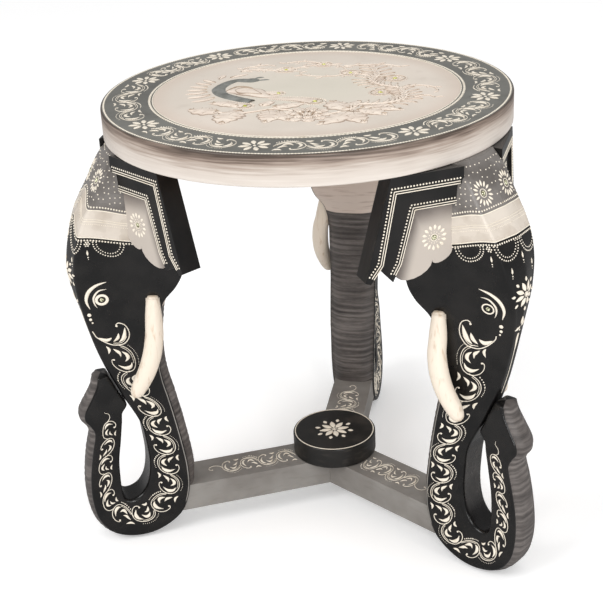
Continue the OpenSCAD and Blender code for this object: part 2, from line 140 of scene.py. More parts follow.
def material(name, paint):
    """A material whose Principled inputs are what paint returns for the tree's first wire."""
    made = bpy.data.materials.new(name)
    made.use_nodes = True
    tree = made.node_tree
    shader = tree.nodes["Principled BSDF"]
    for key, value in paint(Wire(tree)).items():
        if isinstance(value, Wire):
            tree.links.new(value.socket, shader.inputs[key])
        else:
            shader.inputs[key].default_value = value
    return made


def look_from(place, yaw, pitch, roll, turn):
    """Camera matrix: looks along +Y turned by yaw, down by pitch, rolled, then all turned."""
    yaw, pitch, roll, turn = np.radians([yaw, pitch, roll, turn])
    forward = np.array([np.sin(yaw) * np.cos(pitch), np.cos(yaw) * np.cos(pitch),
                        -np.sin(pitch)])
    right = np.array([np.cos(yaw), -np.sin(yaw), 0])
    up = np.cross(right, forward)
    axes = np.array([np.cos(roll) * right + np.sin(roll) * up,
                     np.cos(roll) * up - np.sin(roll) * right, -forward])
    about_z = np.array([[np.cos(turn), -np.sin(turn), 0], [np.sin(turn), np.cos(turn), 0],
                        [0, 0, 1]])
    matrix = np.eye(4)
    matrix[:3, :3] = about_z @ axes.T
    matrix[:3, 3] = np.array(place) * MM
    return Matrix(matrix.tolist())


# The camera is fitted to the photograph, whose width and focal length are in pixels
FOCAL_PX, PICTURE_PX, SENSOR = 1300.55, 603, 36
AIM_H = 0.25

scene = bpy.context.scene
scene.view_settings.view_transform = "Standard"
camera = bpy.data.objects.new("camera", bpy.data.cameras.new("camera"))
camera.data.sensor_width = SENSOR
camera.data.lens = SENSOR * FOCAL_PX / PICTURE_PX
camera.matrix_world = look_from((287.31, -1255.36, 810.03), -0.707, 24.669, -2.918, 13.407)
scene.collection.objects.link(camera)
scene.camera = camera


def soft_lamp(name, place, size, tall, power):
    """An area lamp, size wide and tall high, aimed at the table's middle."""
    lamp = bpy.data.objects.new(name, bpy.data.lights.new(name, "AREA"))
    lamp.data.shape = "RECTANGLE"
    lamp.data.size = size
    lamp.data.size_y = tall
    lamp.data.energy = power
    away = Vector(place) - Vector((0, 0, AIM_H))
    lamp.matrix_world = (Matrix.Translation(place)
                         @ away.to_track_quat("Z", "Y").to_matrix().to_4x4())
    scene.collection.objects.link(lamp)


soft_lamp("window", (-1.6, -1.9, 2.2), 1.4, 1.4, 34)
soft_lamp("panel", (2.2, -1.2, 1.3), 1.2, 1.2, 12)
soft_lamp("tall_window", (1.0, -2.1, 1.0), 0.12, 1.3, 13)
# The camera sees a white world. It lights the table a little less than that, and glossy
# paint mirrors it darker still, which keeps the black black
world = bpy.data.worlds.new("studio")
scene.world = world
world.use_nodes = True
ambient, in_gloss = 0.78, 0.27
seen = Wire(world.node_tree).node("LightPath", None, None, "Is Camera Ray")
mirrored = seen.node("LightPath", None, None, "Is Glossy Ray")
lit = seen * (1 - ambient) + mirrored * (in_gloss - ambient) + ambient
sky = world.node_tree.nodes["Background"]
sky.inputs["Color"].default_value = (1, 1, 1, 1)
world.node_tree.links.new(lit.socket, sky.inputs["Strength"])

FLOOR_REACH = 6.0
FLOOR_PALE, FLOOR_WHITE = (0.93, 0.93, 0.93, 1), (0.95, 0.95, 0.95, 1)
FLOOR_MIRRORED = (0.4, 0.4, 0.4, 1)
FLOOR_GLOW, NO_GLOW = (0.22, 0.22, 0.22, 1), (0, 0, 0, 1)


def floor_paint(wire):
    """White card: it glows a little to the camera, and glossy paint mirrors it as grey."""
    to_camera = wire.node("LightPath", None, None, "Is Camera Ray")
    in_paint = wire.node("LightPath", None, None, "Is Glossy Ray")
    sheet = wire.noise(wire.place(), 3.0).mix(FLOOR_PALE, FLOOR_WHITE)
    return {"Base Color": in_paint.mix(sheet, FLOOR_MIRRORED), "Roughness": 0.9,
            "Emission Color": to_camera.mix(NO_GLOW, FLOOR_GLOW), "Emission Strength": 1.0}


floor_mesh = bpy.data.meshes.new("floor")
floor_mesh.from_pydata([(FLOOR_REACH * x, FLOOR_REACH * y, 0) for x, y in
                        ((-1, -1), (1, -1), (1, 1), (-1, 1))], [], [(0, 1, 2, 3)])
floor = bpy.data.objects.new("floor", floor_mesh)
scene.collection.objects.link(floor)
floor_mesh.materials.append(material("floor_sheet", floor_paint))

# ---- The legs: each is one block of mango wood carved as an elephant's head, its trunk
# running down to the floor and curling up again in front of itself. Glossy black paint,
# with a grey cap, a cream band and combed grey-brown ribs on the narrow faces.

TABLE_H, TOP_T = 463.0, 30.0
LEG_H = TABLE_H - TOP_T
# The leg's drawing is this high and is stretched to LEG_H
DRAWN_H = 427
# The head's back stands HEAD_IN out from the legs' common middle, which lies at AXIS_Y
HEAD_IN = 148.0
AXIS_Y = -33.22
LEG_ANGLES = {"front_left": 210, "front_right": 330, "back": 90}
# Half widths: the head's back, its brow, the trunk, the curled tip; then those of the
# trunk's front edge and of the loop's edges, and how far the corners are rounded over
HEAD_HALF, BROW_HALF, TRUNK_HALF, TIP_HALF = 42.0, 30.0, 28.5, 18.0
KEEL, HOLE_EDGE, CORNER = 7.0, 16.0, 4.0
# How far the faces swell: the head's back, the ribbed trunk, the foot and the brow
BACK_SWELL, RIB_SWELL, FOOT_SWELL, BROW_SWELL = 1.0, 11.0, 5.0, 4.0
# Sections between which the brow's swell fades, the ribs' swell grows, and it falls to the
# foot's; then where the ribs are cut from
BROW_FADE, RIB_RISE, RIB_FALL, RIBS_FROM = (5, 7), (5, 8), (14, 16.5), 7.2
TIP_GAP = 1.5


def trunk_front(height):
    """How far out the trunk's front is at this height of the drawing."""
    return np.interp(height, [134, 167, 193, 217, 241], [57.5, 72.5, 83.5, 91.5, 97.5])


def lip(height):
    """How far out the curled tip's near face is: a gap past the trunk's front."""
    return trunk_front(height) + TIP_GAP


# Inner point (out, up), outer point (out, up) and the half width at each, from the top of
# the head down the trunk, round the foot and up the curled tip. The rows below the head are
# written short, with shares of a width or steps from it, and filled in after each list
HEAD_ROWS = [(0, DRAWN_H, 52, DRAWN_H, HEAD_HALF, BROW_HALF),
             (0, 412, 65, 413, HEAD_HALF, BROW_HALF), (0, 390, 78, 391, HEAD_HALF, BROW_HALF),
             (0, 363, 94, 364, HEAD_HALF, BROW_HALF * 0.95),
             (0, 337, 103, 338, HEAD_HALF, BROW_HALF * 0.83),
             (2, 307, 107, 311, HEAD_HALF, BROW_HALF * 0.58),
             (10, 289, 106, 287, HEAD_HALF * 0.93, BROW_HALF * 0.37),
             (23, 271, 102, 263, HEAD_HALF * 0.74, KEEL + 1)]
TRUNK_ROWS = [(30, 249, 241, 0.98, 0), (33, 221, 217, 1, 0), (32, 193, 193, 1, 1),
              (26, 163, 167, 1, 5), (20.5, 133, 134, 1, HOLE_EDGE - KEEL)]
TRUNK_ROWS = [(inner, up, trunk_front(top), top, TRUNK_HALF * wide, KEEL + more)
              for inner, up, top, wide, more in TRUNK_ROWS]
FOOT_ROWS = [(16, 104, 53.5, 107, 0.98), (13, 77, 52.5, 83, 0.96), (14, 49, 56, 63, 0.92),
             (24, 23, 63, 51, 0.88), (47, 7, 71, 46, 0.84), (72, 3, 79, 45.5, 0.8),
             (97, 10, 83.5, 49.5, 0.75)]
FOOT_ROWS = [row[:4] + (TRUNK_HALF * row[4], HOLE_EDGE) for row in FOOT_ROWS]
CURL_ROWS = [(112, 28, 84.5, 58.5, 1.12, 1), (117, 52, 84.5, 73, 1.06, 2),
             (116, 80, 83.5, 93, 1, 2), (111, 108, 79.5, 114.5, 1, 3),
             (106, 129, 76, 136, 0.96, 3), (109, 139, 74.5, 147, 0.93, 3),
             (114, 147, lip(156), 156, 0.9, 3), (113, 156, lip(165), 165, 0.87, 3),
             (106, 168, lip(175), 175, 0.83, 3), (99, 180, lip(184), 184, 0.78, 4),
             (96, 190, lip(191), 191, 0.72, 5)]
CURL_ROWS = [row[:4] + (TIP_HALF * row[4], HOLE_EDGE - row[5]) for row in CURL_ROWS]
SECTIONS = np.array(HEAD_ROWS + TRUNK_ROWS + FOOT_ROWS + CURL_ROWS, float)
LAST = len(SECTIONS) - 1


def through(rows, u):
    """The row at u, on a Catmull-Rom curve through the rows."""
    rows, u = np.asarray(rows, float), np.asarray(u, float)
    i = np.clip(np.floor(u), 0, len(rows) - 2).astype(int)
    t = (u - i)[..., None]
    a, b = rows[np.maximum(i - 1, 0)], rows[i]
    c, d = rows[i + 1], rows[np.minimum(i + 2, len(rows) - 1)]
    return 0.5 * (2 * b + (c - a) * t + (2 * a - 5 * b + 4 * c - d) * t ** 2
                  + (3 * b - a - 3 * c + d) * t ** 3)


def section(u):
    """Inner point, outer point and half widths of the leg at u, between its drawn rows."""
    return through(SECTIONS, u)


def width(u):
    """Depth of the leg from its inner to its outer face."""
    row = section(u)
    return np.maximum(1, np.hypot(row[..., 2] - row[..., 0], row[..., 3] - row[..., 1]))


def ease(u):
    """How far the corners are rounded over: CORNER, but at most 0.4 of the outer half width
    and 0.3 of the depth."""
    return np.minimum(np.minimum(CORNER, section(u)[..., 5] * 0.4), width(u) * 0.3)


def skin(u, across, side):
    """Point of section u: across runs from its inner to its outer face, side is sideways."""
    row = section(u)
    up = row[..., 1] + (row[..., 3] - row[..., 1]) * across
    return np.stack(np.broadcast_arrays(
        HEAD_IN + row[..., 0] + (row[..., 2] - row[..., 0]) * across, side,
        np.maximum(up * LEG_H / DRAWN_H, 0)), -1)


def ridge(t):
    """Height of a face's soft ridge: 1 on its middle line, falling evenly to 0 at its edge."""
    t = np.abs(t)
    return 1 - t * t / (t + 0.15) * 1.15


def ramp(u, start, end):
    """0 before start, 1 after end and an even slope between."""
    return np.clip((u - start) / (end - start), 0, 1)


def run_along(points):
    """Distance along a line of points, at each of them: the steps' lengths summed."""
    steps = np.linalg.norm(np.diff(points, axis=-2), axis=-1)
    return np.concatenate([np.zeros_like(steps[..., :1]), np.cumsum(steps, -1)], -1)


def face_out(u, side):
    """Point on the outer face, which swells outwards over the brow: highest on its middle
    line, flat at its corners."""
    row, e = section(u), ease(u)
    swell = BROW_SWELL * (1 - ramp(u, *BROW_FADE)) * ridge(side / (row[..., 5] - e))
    return skin(u, 1 + swell / width(u), side)


# The inner face is combed below this height
RIB_TOP = 269.0
RIB_PITCH = 7.0
# Points on each of the five parts of half an outline, and rings from one section to the next
COUNT_ROUND, RINGS = 9, 20
U_FINE = np.linspace(0, LAST, 1201)
TRAIL = run_along(skin(U_FINE, 0.0, 0.0))


def trail(u):
    """Distance down the inner face from the top of the head to section u."""
    return np.interp(u, U_FINE, TRAIL)


def face_in(u, side):
    """Point on the inner face, which swells inwards down the trunk and is combed in ribs."""
    row, e = section(u), ease(u)
    swell = (BACK_SWELL + (RIB_SWELL - BACK_SWELL) * ramp(u, *RIB_RISE)
             - (RIB_SWELL - FOOT_SWELL) * ramp(u, *RIB_FALL))
    t = np.minimum(np.abs(side) / (row[..., 4] - e), 1)
    # The ribs are cut by eye: each bends a little and their pitch and depth wander
    down = trail(u) + 1.2 * np.sin(side * 0.09 + u * 3.1) + 1.3 * np.sin(trail(u) * 0.083)
    deep = 0.16 + 0.1 * np.sin(trail(u) * 0.21 + side * 0.05)
    rib = deep * np.cos(TAU * down / RIB_PITCH) * (u > RIBS_FROM) * (1 - t ** 6)
    return skin(u, -(swell * 0.85 * (1 - t ** 3.5) + rib) / width(u), side)


def flank(u, across):
    """Point on the side to the left of the leg's outward direction."""
    row = section(u)
    return skin(u, across, row[..., 4] + (row[..., 5] - row[..., 4]) * across)


def leg_ring(u):
    """Half an outline of sections u, as points and as ring marks 0 to 5: the inner face to
    1, its rounded corner to 2, the flank to 3, the outer corner to 4, the outer face to 5."""
    t = np.linspace(0, 1, COUNT_ROUND)[None, :]
    u = np.broadcast_to(u[:, None], (len(u), COUNT_ROUND))
    row, e, w = section(u), ease(u), width(u)
    inner, outer = row[..., 4], row[..., 5]
    slope = (outer - inner) / w
    inside = face_in(u, (inner - e) * t)
    turn_in = skin(u, e / w * t * t, (inner - e) * (1 - t) ** 2 + inner * 2 * t * (1 - t)
                   + (inner + slope * e) * t * t)
    along = e / w + (1 - 2 * e / w) * t
    side = skin(u, along, inner + (outer - inner) * along)
    turn_out = skin(u, 1 - e / w * (1 - t) ** 2, (outer - slope * e) * (1 - t) ** 2
                    + outer * 2 * t * (1 - t) + (outer - e) * t * t)
    outside = face_out(u, (outer - e) * (1 - t))
    spans = [inside, turn_in, side, turn_out, outside]
    points = np.concatenate([span[:, :-1] for span in spans] + [outside[:, -1:]], 1)
    marks = np.concatenate([k + t[:, :-1] for k in range(5)] + [np.array([[5.0]])], 1)
    return points, np.broadcast_to(marks, points.shape[:2])


def placed(points, leg=None, side=1):
    """Points of a leg's own frame, in the table's frame: mirrored, turned and moved. Without
    a leg they are only moved."""
    if leg is None:
        return points + [0, AXIS_Y, 0]
    angle = np.radians(LEG_ANGLES[leg])
    x, y = points[..., 0], points[..., 1] * side
    return np.stack([x * np.cos(angle) - y * np.sin(angle),
                     x * np.sin(angle) + y * np.cos(angle) + AXIS_Y, points[..., 2]], -1)


def quads(rows, columns, wrap=False, flip=False):
    """Faces of a grid of points that was filled row by row."""
    i = np.arange(rows - 1)[:, None]
    j = np.arange(columns if wrap else columns - 1)[None, :]
    k = (j + 1) % columns
    faces = np.stack(np.broadcast_arrays(i * columns + j, i * columns + k,
                                         (i + 1) * columns + k, (i + 1) * columns + j), -1)
    faces = faces.reshape(-1, 4)
    return faces[:, ::-1] if flip else faces


def merged(parts):
    """One part from many: each is (points, faces, marks), three or six numbers a mark."""
    points, faces, marks = zip(*parts)
    starts = np.cumsum([0] + [len(p) for p in points])
    faces = [tuple(face) for f, start in zip(faces, starts) for face in (f + start).tolist()]
    return np.concatenate(points), faces, np.concatenate(marks)


def piece(name, parts, finish, replaces=()):
    """A piece of the table from its parts in millimetres, with its finish and its body. The
    marks' first three numbers go into the attribute mark and the next three into trail."""
    points, faces, marks = merged(parts)
    mesh = bpy.data.meshes.new(name)
    mesh.from_pydata((points * MM).tolist(), [], faces)
    for k, kind in enumerate(("mark", "trail")[:marks.shape[1] // 3]):
        mesh.attributes.new(kind, "FLOAT_VECTOR", "POINT").data.foreach_set(
            "vector", marks[:, 3 * k:3 * k + 3].astype(np.float32).ravel())
    mesh.materials.append(finish)
    mesh.shade_smooth()
    made = bpy.data.objects.new(name, mesh)
    scene.collection.objects.link(made)
    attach(made, "root")
    if replaces:
        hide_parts(*replaces)


# Heights of the cap's and the cream band's lower lines on each leg: beside the ear, the rise
# from there to the corner, and the rise from the corner to the forehead's middle
CAP_LINE = {"front_left": (371.5, 10.5, 12.5), "front_right": (380.8, 10.2, 1.0),
            "back": (380.8, 10.2, 1.0)}
BAND_LINE = {"front_left": (345.5, 10.0, 15.0), "front_right": (356.5, 11.5, 0.5),
             "back": (356.5, 11.5, 0.5)}
# Ring marks where these lines leave the ear and where they reach the corner
EAR_MARK, CORNER_MARK = 2.35, 3.05


def head_height(ring, line):
    """Height of the cap's or the band's lower line at a ring mark: two eased rises, the
    first from the ear to the corner and the second on the outer face."""
    near, far = ramp(ring, EAR_MARK, CORNER_MARK), ramp(ring, 4, 5)
    return line[0] + line[1] * near ** 2 * (3 - 2 * near) + line[2] * far ** 2 * (3 - 2 * far)


def leg_part(leg):
    """The whole skin of a leg: rings along it, with the ends closed by shrinking rings."""
    u = np.linspace(0, LAST, LAST * RINGS + 1)
    half, marks = leg_ring(u)
    mirror = half[:, -2:0:-1] * [1, -1, 1]
    ring = np.concatenate([half, mirror], 1)
    mark = np.concatenate([marks, marks[:, -2:0:-1]], 1)
    tip_way = ring[-1].mean(0) - ring[-4].mean(0)
    tip_way /= np.linalg.norm(tip_way)
    middle = ring[-1].mean(0)
    ends = [middle + (ring[-1] - middle) * shrink + tip_way * lift
            for shrink, lift in ((0.93, 0.8), (0.75, 1.6), (0.4, 2.1), (0.02, 2.3))]
    head = ring[0].mean(0) + (ring[0] - ring[0].mean(0)) * 0.01
    ring = np.concatenate([head[None], ring, np.array(ends)])
    u_all = np.concatenate([[0], u, [LAST] * len(ends)])
    mark = np.concatenate([mark[:1], mark, mark[-1:].repeat(len(ends), 0)])
    rows, columns = ring.shape[:2]
    u_all = np.broadcast_to(u_all[:, None], (rows, columns))
    foot = head_height(mark, BAND_LINE[leg])
    band = (ring[..., 2] - foot) / (head_height(mark, CAP_LINE[leg]) - foot)
    marked = np.stack([u_all, mark, ring[..., 2], trail(u_all), ring[..., 1], band], -1)
    return (placed(ring, leg).reshape(-1, 3), quads(rows, columns, True),
            marked.reshape(-1, 6))


BLACK = srgb(11, 10, 10)
WORN_BLACK = srgb(27, 25, 24)
CAP_GREY = srgb(126, 121, 117)
CREAM = srgb(213, 203, 191)
# Sections between which the trunk's back corners carry a pale line, and the section from
# which the outer face is the inside of the loop
PALE_LINE, LOOP_FROM = (8.3, 15.5), 12.2


def leg_paint(wire):
    """Zones by the marks: u along the leg, the ring mark round it, the height, and the place
    in the cream band, 0 at its lower and 1 at its upper line."""
    u, ring, up = wire.read("mark").parts()
    down, side, band = wire.read("trail").parts()
    place = wire.place()
    cloud = wire.noise(place, 35.0)
    rubbed = cloud.step(0.35, 0.7)
    colour = band.step(0.988, 1.012).mix(rubbed.mix(CREAM, srgb(188, 176, 162)),
                                         rubbed.mix(CAP_GREY, srgb(96, 91, 87)))
    colour = band.step(0.012, -0.012).mix(colour, rubbed.mix(BLACK, WORN_BLACK))
    # The narrow faces are combed: dark furrows and lighter ribs, painted shade and painted
    # light over the grey-brown paint, and fine streaks along them
    on_back = ring.step(1.35, 1.2)
    combed = on_back * (RIB_TOP - up).step(-0.3, 0.3)
    across = wire.node("CombineXYZ", None, {0: side / 45, 1: u * 0.3, 2: down / 3.1})
    # furrow and wave lay painted shade in the furrows and painted light on the ribs; hairs are
    # the fine streaks
    furrow = wire.noise(across, 1.0, 1.5)
    wave = (down * (TAU / RIB_PITCH)).maths("COSINE")
    hairs = wire.noise(wire.node("CombineXYZ", None, {0: side / 6, 2: down / 0.55}), 1.0)
    crown = (furrow - 0.5) * 1.5 + wave * 0.1 + (hairs - 0.5) * 0.7 + (cloud - 0.5) * 0.5 + 0.5
    ribs = crown.node("ValToRGB", {"stops": [(0.05, srgb(58, 53, 51)), (0.5, srgb(88, 82, 79)),
                                             (0.95, srgb(120, 113, 109))]}, {0: crown})
    # The head's back is plain cream, a little pinkish, with faint grain
    plain = on_back * (RIB_TOP - up).step(0.3, -0.3)
    grain = wire.noise(place.stretched((4, 4, 40)), 9.0).step(0.5, 0.7)
    colour = plain.mix(colour, grain.mix(srgb(208, 192, 180), srgb(184, 165, 153)))
    colour = combed.mix(colour, ribs)
    # A thin pale line runs down the trunk's back corners: a painted highlight on their rounding
    edge = ((ring - 1.72).maths("ABSOLUTE").step(0.12, 0.06)
            * (u - PALE_LINE[0]).step(-0.1, 0.1) * (u - PALE_LINE[1]).step(0.1, -0.1))
    colour = (edge * (cloud * 0.8 + 0.3)).mix(colour, srgb(160, 155, 149))
    # The loop's inside is charcoal, darker low down
    inside = ring.step(3.75, 4.0) * (u - LOOP_FROM).step(-0.2, 0.2)
    low = up.step(82, 52)
    colour = inside.mix(colour, low.mix(rubbed.mix(srgb(70, 67, 65), srgb(52, 50, 49)),
                                        srgb(24, 22, 22)))
    rough = 0.34 - cloud * 0.14 + combed * 0.2 + plain * 0.22
    return {"Base Color": colour, "Roughness": rough,
            "Normal": wire.noise(place, 220.0).bump(0.0005, 0.3)}


leg_finish = material("leg_paint", leg_paint)
for leg in LEG_ANGLES:
    piece("leg_carving_" + leg, [leg_part(leg)], leg_finish,
          ["leg_" + leg])

# ---- The painted ornament: cream paste squeezed from a cone in thin raised lines, leaves
# and dots, the same on head, trunk, stretcher and top. It dries a little proud and domed.

# Across a strip: the share of its half width and of its height
DOME = np.array([[-1, -0.1], [-0.66, 0.72], [0, 1], [0.66, 0.72], [1, -0.1]])
# Up a dot: the share of its radius and of its height
DROP = np.array([[1, -0.1], [0.72, 0.6], [0.02, 1]])
DROP_SIDES, DROP_H = 8, 0.6


def on(chart, x, y, flip):
    """Points, normals and the two surface directions of a chart at x, y in millimetres: the
    normal is across the chart's slopes over a short way h along x and y."""
    h = 0.15
    points = chart(x, y)
    to_x = chart(x + h, y) - chart(x - h, y)
    to_y = chart(x, y + h) - chart(x, y - h)
    normal = np.cross(to_x, to_y) * flip
    normal /= np.linalg.norm(normal, axis=-1, keepdims=True) + 1e-9
    to_x /= np.linalg.norm(to_x, axis=-1, keepdims=True) + 1e-9
    return points, normal, to_x, np.cross(normal, to_x)


def stroke(chart, flip, path, broad, proud):
    """A raised line along path (x, y), broad wide (a number or one a point): the dome's
    profile carried along it, lower where the line is narrow."""
    path = np.asarray(path, float)
    points, normal, _, _ = on(chart, path[:, 0], path[:, 1], flip)
    along = np.gradient(points, axis=0)
    across = np.cross(normal, along)
    across /= np.linalg.norm(across, axis=1, keepdims=True) + 1e-9
    broad = np.broadcast_to(broad, len(path))
    lift = proud * np.minimum(1, broad / broad.max() * 1.3)
    grid = (points[:, None] + across[:, None] * (DOME[None, :, :1] * broad[:, None, None] / 2)
            + normal[:, None] * (DOME[None, :, 1:] * lift[:, None, None]))
    mark = np.zeros(grid.shape[:2] + (3,))
    mark[..., 0] = np.abs(DOME[:, 0])
    return grid.reshape(-1, 3), quads(len(path), len(DOME), flip=True), mark.reshape(-1, 3)


def dots(chart, flip, places):
    """Drops of paste: a low dome of eight sides on each (x, y, radius), no higher than 0.8
    of its radius."""
    places = np.asarray(places, float)
    points, normal, to_x, to_y = on(chart, places[:, 0], places[:, 1], flip)
    turn = np.arange(DROP_SIDES) * TAU / DROP_SIDES
    round_about = (to_x[:, None] * np.cos(turn)[None, :, None]
                   + to_y[:, None] * np.sin(turn)[None, :, None])
    grid = (points[:, None, None] + round_about[:, None] * DROP[None, :, None, :1]
            * places[:, 2][:, None, None, None]
            + normal[:, None, None] * DROP[None, :, None, 1:]
            * np.minimum(DROP_H, places[:, 2] * 0.8)[:, None, None, None])
    starts = np.arange(len(places)) * len(DROP) * DROP_SIDES
    faces = quads(len(DROP), DROP_SIDES, True)[None] + starts[:, None, None]
    mark = np.zeros(grid.shape)
    mark[..., 0] = np.array([1, 0.5, 0])[None, :, None]
    return grid.reshape(-1, 3), faces.reshape(-1, 4), mark.reshape(-1, 3)


def bow(start, end, bend, count=9):
    """A bowed line from start to end, its middle pushed sideways by bend times its length."""
    t = np.linspace(0, 1, count)[:, None]
    start, end = np.array(start, float), np.array(end, float)
    way = end - start
    return start + way * t + np.array([-way[1], way[0]]) * bend * 4 * t * (1 - t)


def plump(broad, count=9, early=1.0, sharp=0.8):
    """Widths of a leaf: broad times half a sine wave to the power of sharp, pointed at both
    ends. Its crest is nearer the end with early over 1 and nearer the start under 1."""
    t = np.linspace(0, 1, count) ** early
    return broad * np.maximum(np.sin(np.pi * t), 0.06) ** sharp


def curve(points, count=16):
    """A smooth line through a few points."""
    return through(points, np.linspace(0, len(points) - 1, count))


def circle(centre, radius, count=25):
    """Points round a centre, the last one on the first."""
    turn = np.linspace(0, TAU, count)
    return np.stack([centre[0] + radius * np.cos(turn), centre[1] + radius * np.sin(turn)], -1)


class Ornament:
    """Lines, leaves and dots drawn in millimetres on paper, then laid on a surface."""

    def __init__(self):
        self.strokes = []
        self.drops = []

    def line(self, path, broad=0.9, proud=0.5):
        """A raised line, broad wide (a number or one a point) and proud high."""
        self.strokes.append((np.asarray(path, float), broad, proud))

    def leaf(self, start, end, broad, bend=0.12, early=1.0, proud=0.7):
        """A bowed leaf, pointed at both ends."""
        self.line(bow(start, end, bend), plump(broad, early=early), proud)

    def dot(self, x, y, radius=0.8):
        """A drop of paste."""
        self.drops.append((x, y, radius))

    def row(self, path, pitch, radius=0.8):
        """Dots along a path, pitch apart."""
        path = np.asarray(path, float)
        run = run_along(path)
        for at in np.linspace(0, run[-1], max(2, int(round(run[-1] / pitch)) + 1)):
            self.dot(np.interp(at, run, path[:, 0]), np.interp(at, run, path[:, 1]), radius)

    def beads(self, centre, count, reach, radius):
        """Dots in a ring round a centre."""
        for turn in np.arange(count) * TAU / count:
            self.dot(centre[0] + reach * np.cos(turn), centre[1] + reach * np.sin(turn), radius)

    def ring_of(self, centre, count, inner, outer, broad, turn=0.0, early=1.0):
        """Petals round a centre."""
        for k in range(count):
            way = np.array([np.cos(turn + TAU * k / count), np.sin(turn + TAU * k / count)])
            self.leaf(centre + way * inner, centre + way * outer, broad, 0, early)

    def scroll(self, start, length, half, hand, bold, small=1.0):
        """One curl of a vine along x, its bulge to the side of hand: a line that hooks back
        to a ball, four leaves and, unless bold is None, a second line inside and dots
        outside, bold or fine."""
        def place(points):
            return np.array(points) * [length, hand * half] + [start, 0]

        def at(points, count):
            return curve(place(points), count)

        self.line(at([(-0.04, -0.2), (0.03, 0.22), (0.13, 0.62), (0.29, 0.9), (0.5, 1.0),
                      (0.72, 0.9), (0.9, 0.6), (0.99, 0.12), (0.97, -0.35), (0.87, -0.74),
                      (0.7, -0.97), (0.54, -0.96), (0.49, -0.78)], 45), 0.85 * small, 0.5)
        if bold is not None:
            self.line(at([(0.06, 0.1), (0.17, 0.5), (0.32, 0.76), (0.5, 0.85), (0.66, 0.8)],
                         16), 0.55 * small)
        self.dot(*place((0.52, -0.76)), 1.1 * small)
        outside = at([(0.02, 0.74), (0.14, 1.02), (0.32, 1.24), (0.52, 1.3), (0.72, 1.2)], 16)
        if bold:
            self.row(outside[:9], 2.7 * small, 0.8 * small)
            self.row(outside[9:], 1.9 * small, 0.5 * small)
        elif bold is not None:
            self.row(outside, 1.7 * small, 0.42 * small)
        fat = 0.165 * length * min(1, half / length / 0.42) * small ** 2
        for leaf, broad in (([(0.1, -0.6), (0.2, -0.3), (0.28, -0.12), (0.42, -0.1)], 0.8),
                            ([(0.22, 0.08), (0.34, 0.42), (0.47, 0.46), (0.6, 0.14)], 0.95),
                            ([(0.63, 0.68), (0.77, 0.5), (0.84, 0.18), (0.83, -0.15),
                              (0.73, -0.58)], 1.0),
                            ([(-0.02, -1.12), (0.12, -0.92), (0.28, -1.06)], 0.7)):
            self.line(at(leaf, 14), plump(fat * broad, 14, 1.0, 1.15), 0.8)

    def laid(self, chart, flip=1):
        """The drawing's parts on a chart; flip is -1 where the chart's normal points in."""
        parts = [stroke(chart, flip, *line) for line in self.strokes]
        if self.drops:
            parts.append(dots(chart, flip, self.drops))
        return parts


PASTE = srgb(238, 229, 213)


def paste_paint(wire):
    """Cream paste, browner where it meets the ground."""
    rim, _, _ = wire.read("mark").parts()
    cloud = wire.noise(wire.place(), 90.0)
    worn = cloud.step(0.5, 0.85) * 0.5
    colour = worn.mix(PASTE, srgb(209, 193, 168))
    colour = rim.step(0.72, 1.05).mix(colour, srgb(150, 132, 112))
    return {"Base Color": colour, "Roughness": 0.42 - cloud * 0.08}


paste_finish = material("cone_paste", paste_paint)


def wrapped(u, x):
    """Point of section u that lies x from the outer face's middle, measured round the leg."""
    u, x = np.broadcast_arrays(np.atleast_1d(np.asarray(u, float)), np.asarray(x, float))
    shape = u.shape
    u, x = u.ravel(), x.ravel()
    ring = leg_ring(u)[0][:, ::-1]
    run = run_along(ring)
    far = np.abs(x)
    k = np.clip((run < far[:, None]).sum(1), 1, ring.shape[1] - 1)
    i = np.arange(len(u))
    t = ((far - run[i, k - 1]) / (run[i, k] - run[i, k - 1]))[:, None]
    points = ring[i, k - 1] * (1 - t) + ring[i, k] * t
    points[:, 1] *= np.where(x < 0, -1, 1)
    return points.reshape(shape + (3,))


# The head's part of the sections, and the forehead's height at each of them
HEAD_FINE = U_FINE[:241]
HEAD_UP = face_out(HEAD_FINE, 0.0)[:, 2]


def brow_chart(leg):
    """Paper round the head: x from the forehead's middle, y the height above the floor."""
    def chart(x, y):
        u = np.interp(-np.asarray(y), -HEAD_UP, HEAD_FINE)
        return placed(wrapped(u, x), leg)
    return chart


# The eyes' line down the flank, as a share of its depth, and each leg's eye on it
FLANK_AT = 0.75
FLANK_RUN = run_along(flank(U_FINE, FLANK_AT))
EYE_SECTIONS = {"front_left": 6.4, "front_right": 5.8, "back": 6.1}
CHEEK_SECTION = EYE_SECTIONS["front_right"]


def cheek_chart(leg, side):
    """Paper on a cheek: x outwards and y up from where the front right leg's eye is."""
    def chart(x, y):
        run = np.interp(CHEEK_SECTION, U_FINE, FLANK_RUN) - np.asarray(y)
        u = np.interp(run, FLANK_RUN, U_FINE)
        return placed(flank(u, FLANK_AT + x / width(u)), leg, side)
    return chart


def eye_place(leg):
    """The eye's middle on its cheek's paper: as far up as its section lies above the front
    right leg's."""
    drop = np.interp([CHEEK_SECTION, EYE_SECTIONS[leg]], U_FINE, FLANK_RUN)
    return np.array([0, drop[0] - drop[1]])


# The vine's middle line on a flank, as section and share of the flank's depth
VINE_SECTIONS = [7.8, 8.6, 9.9, 11.1, 12, 12.8, 13.8, 14.8, 15.6, 16.4, 17.2, 18, 19, 20.2,
                 21.5, 23, 24.6, 26.3]
VINE_SHARES = {"front_left": [0.6, 0.62, 0.63, 0.56, 0.55, 0.53, 0.54, 0.52, 0.5, 0.53, 0.58,
                              0.6, 0.57, 0.5, 0.48, 0.5, 0.52, 0.5],
               "front_right": [0.5, 0.51, 0.5, 0.44, 0.45, 0.44, 0.43, 0.41, 0.39, 0.39, 0.43,
                               0.48, 0.52, 0.5, 0.49, 0.5, 0.52, 0.5]}
VINE_SHARES["back"] = VINE_SHARES["front_right"]
VINE_U = np.linspace(VINE_SECTIONS[0], VINE_SECTIONS[-1], 600)
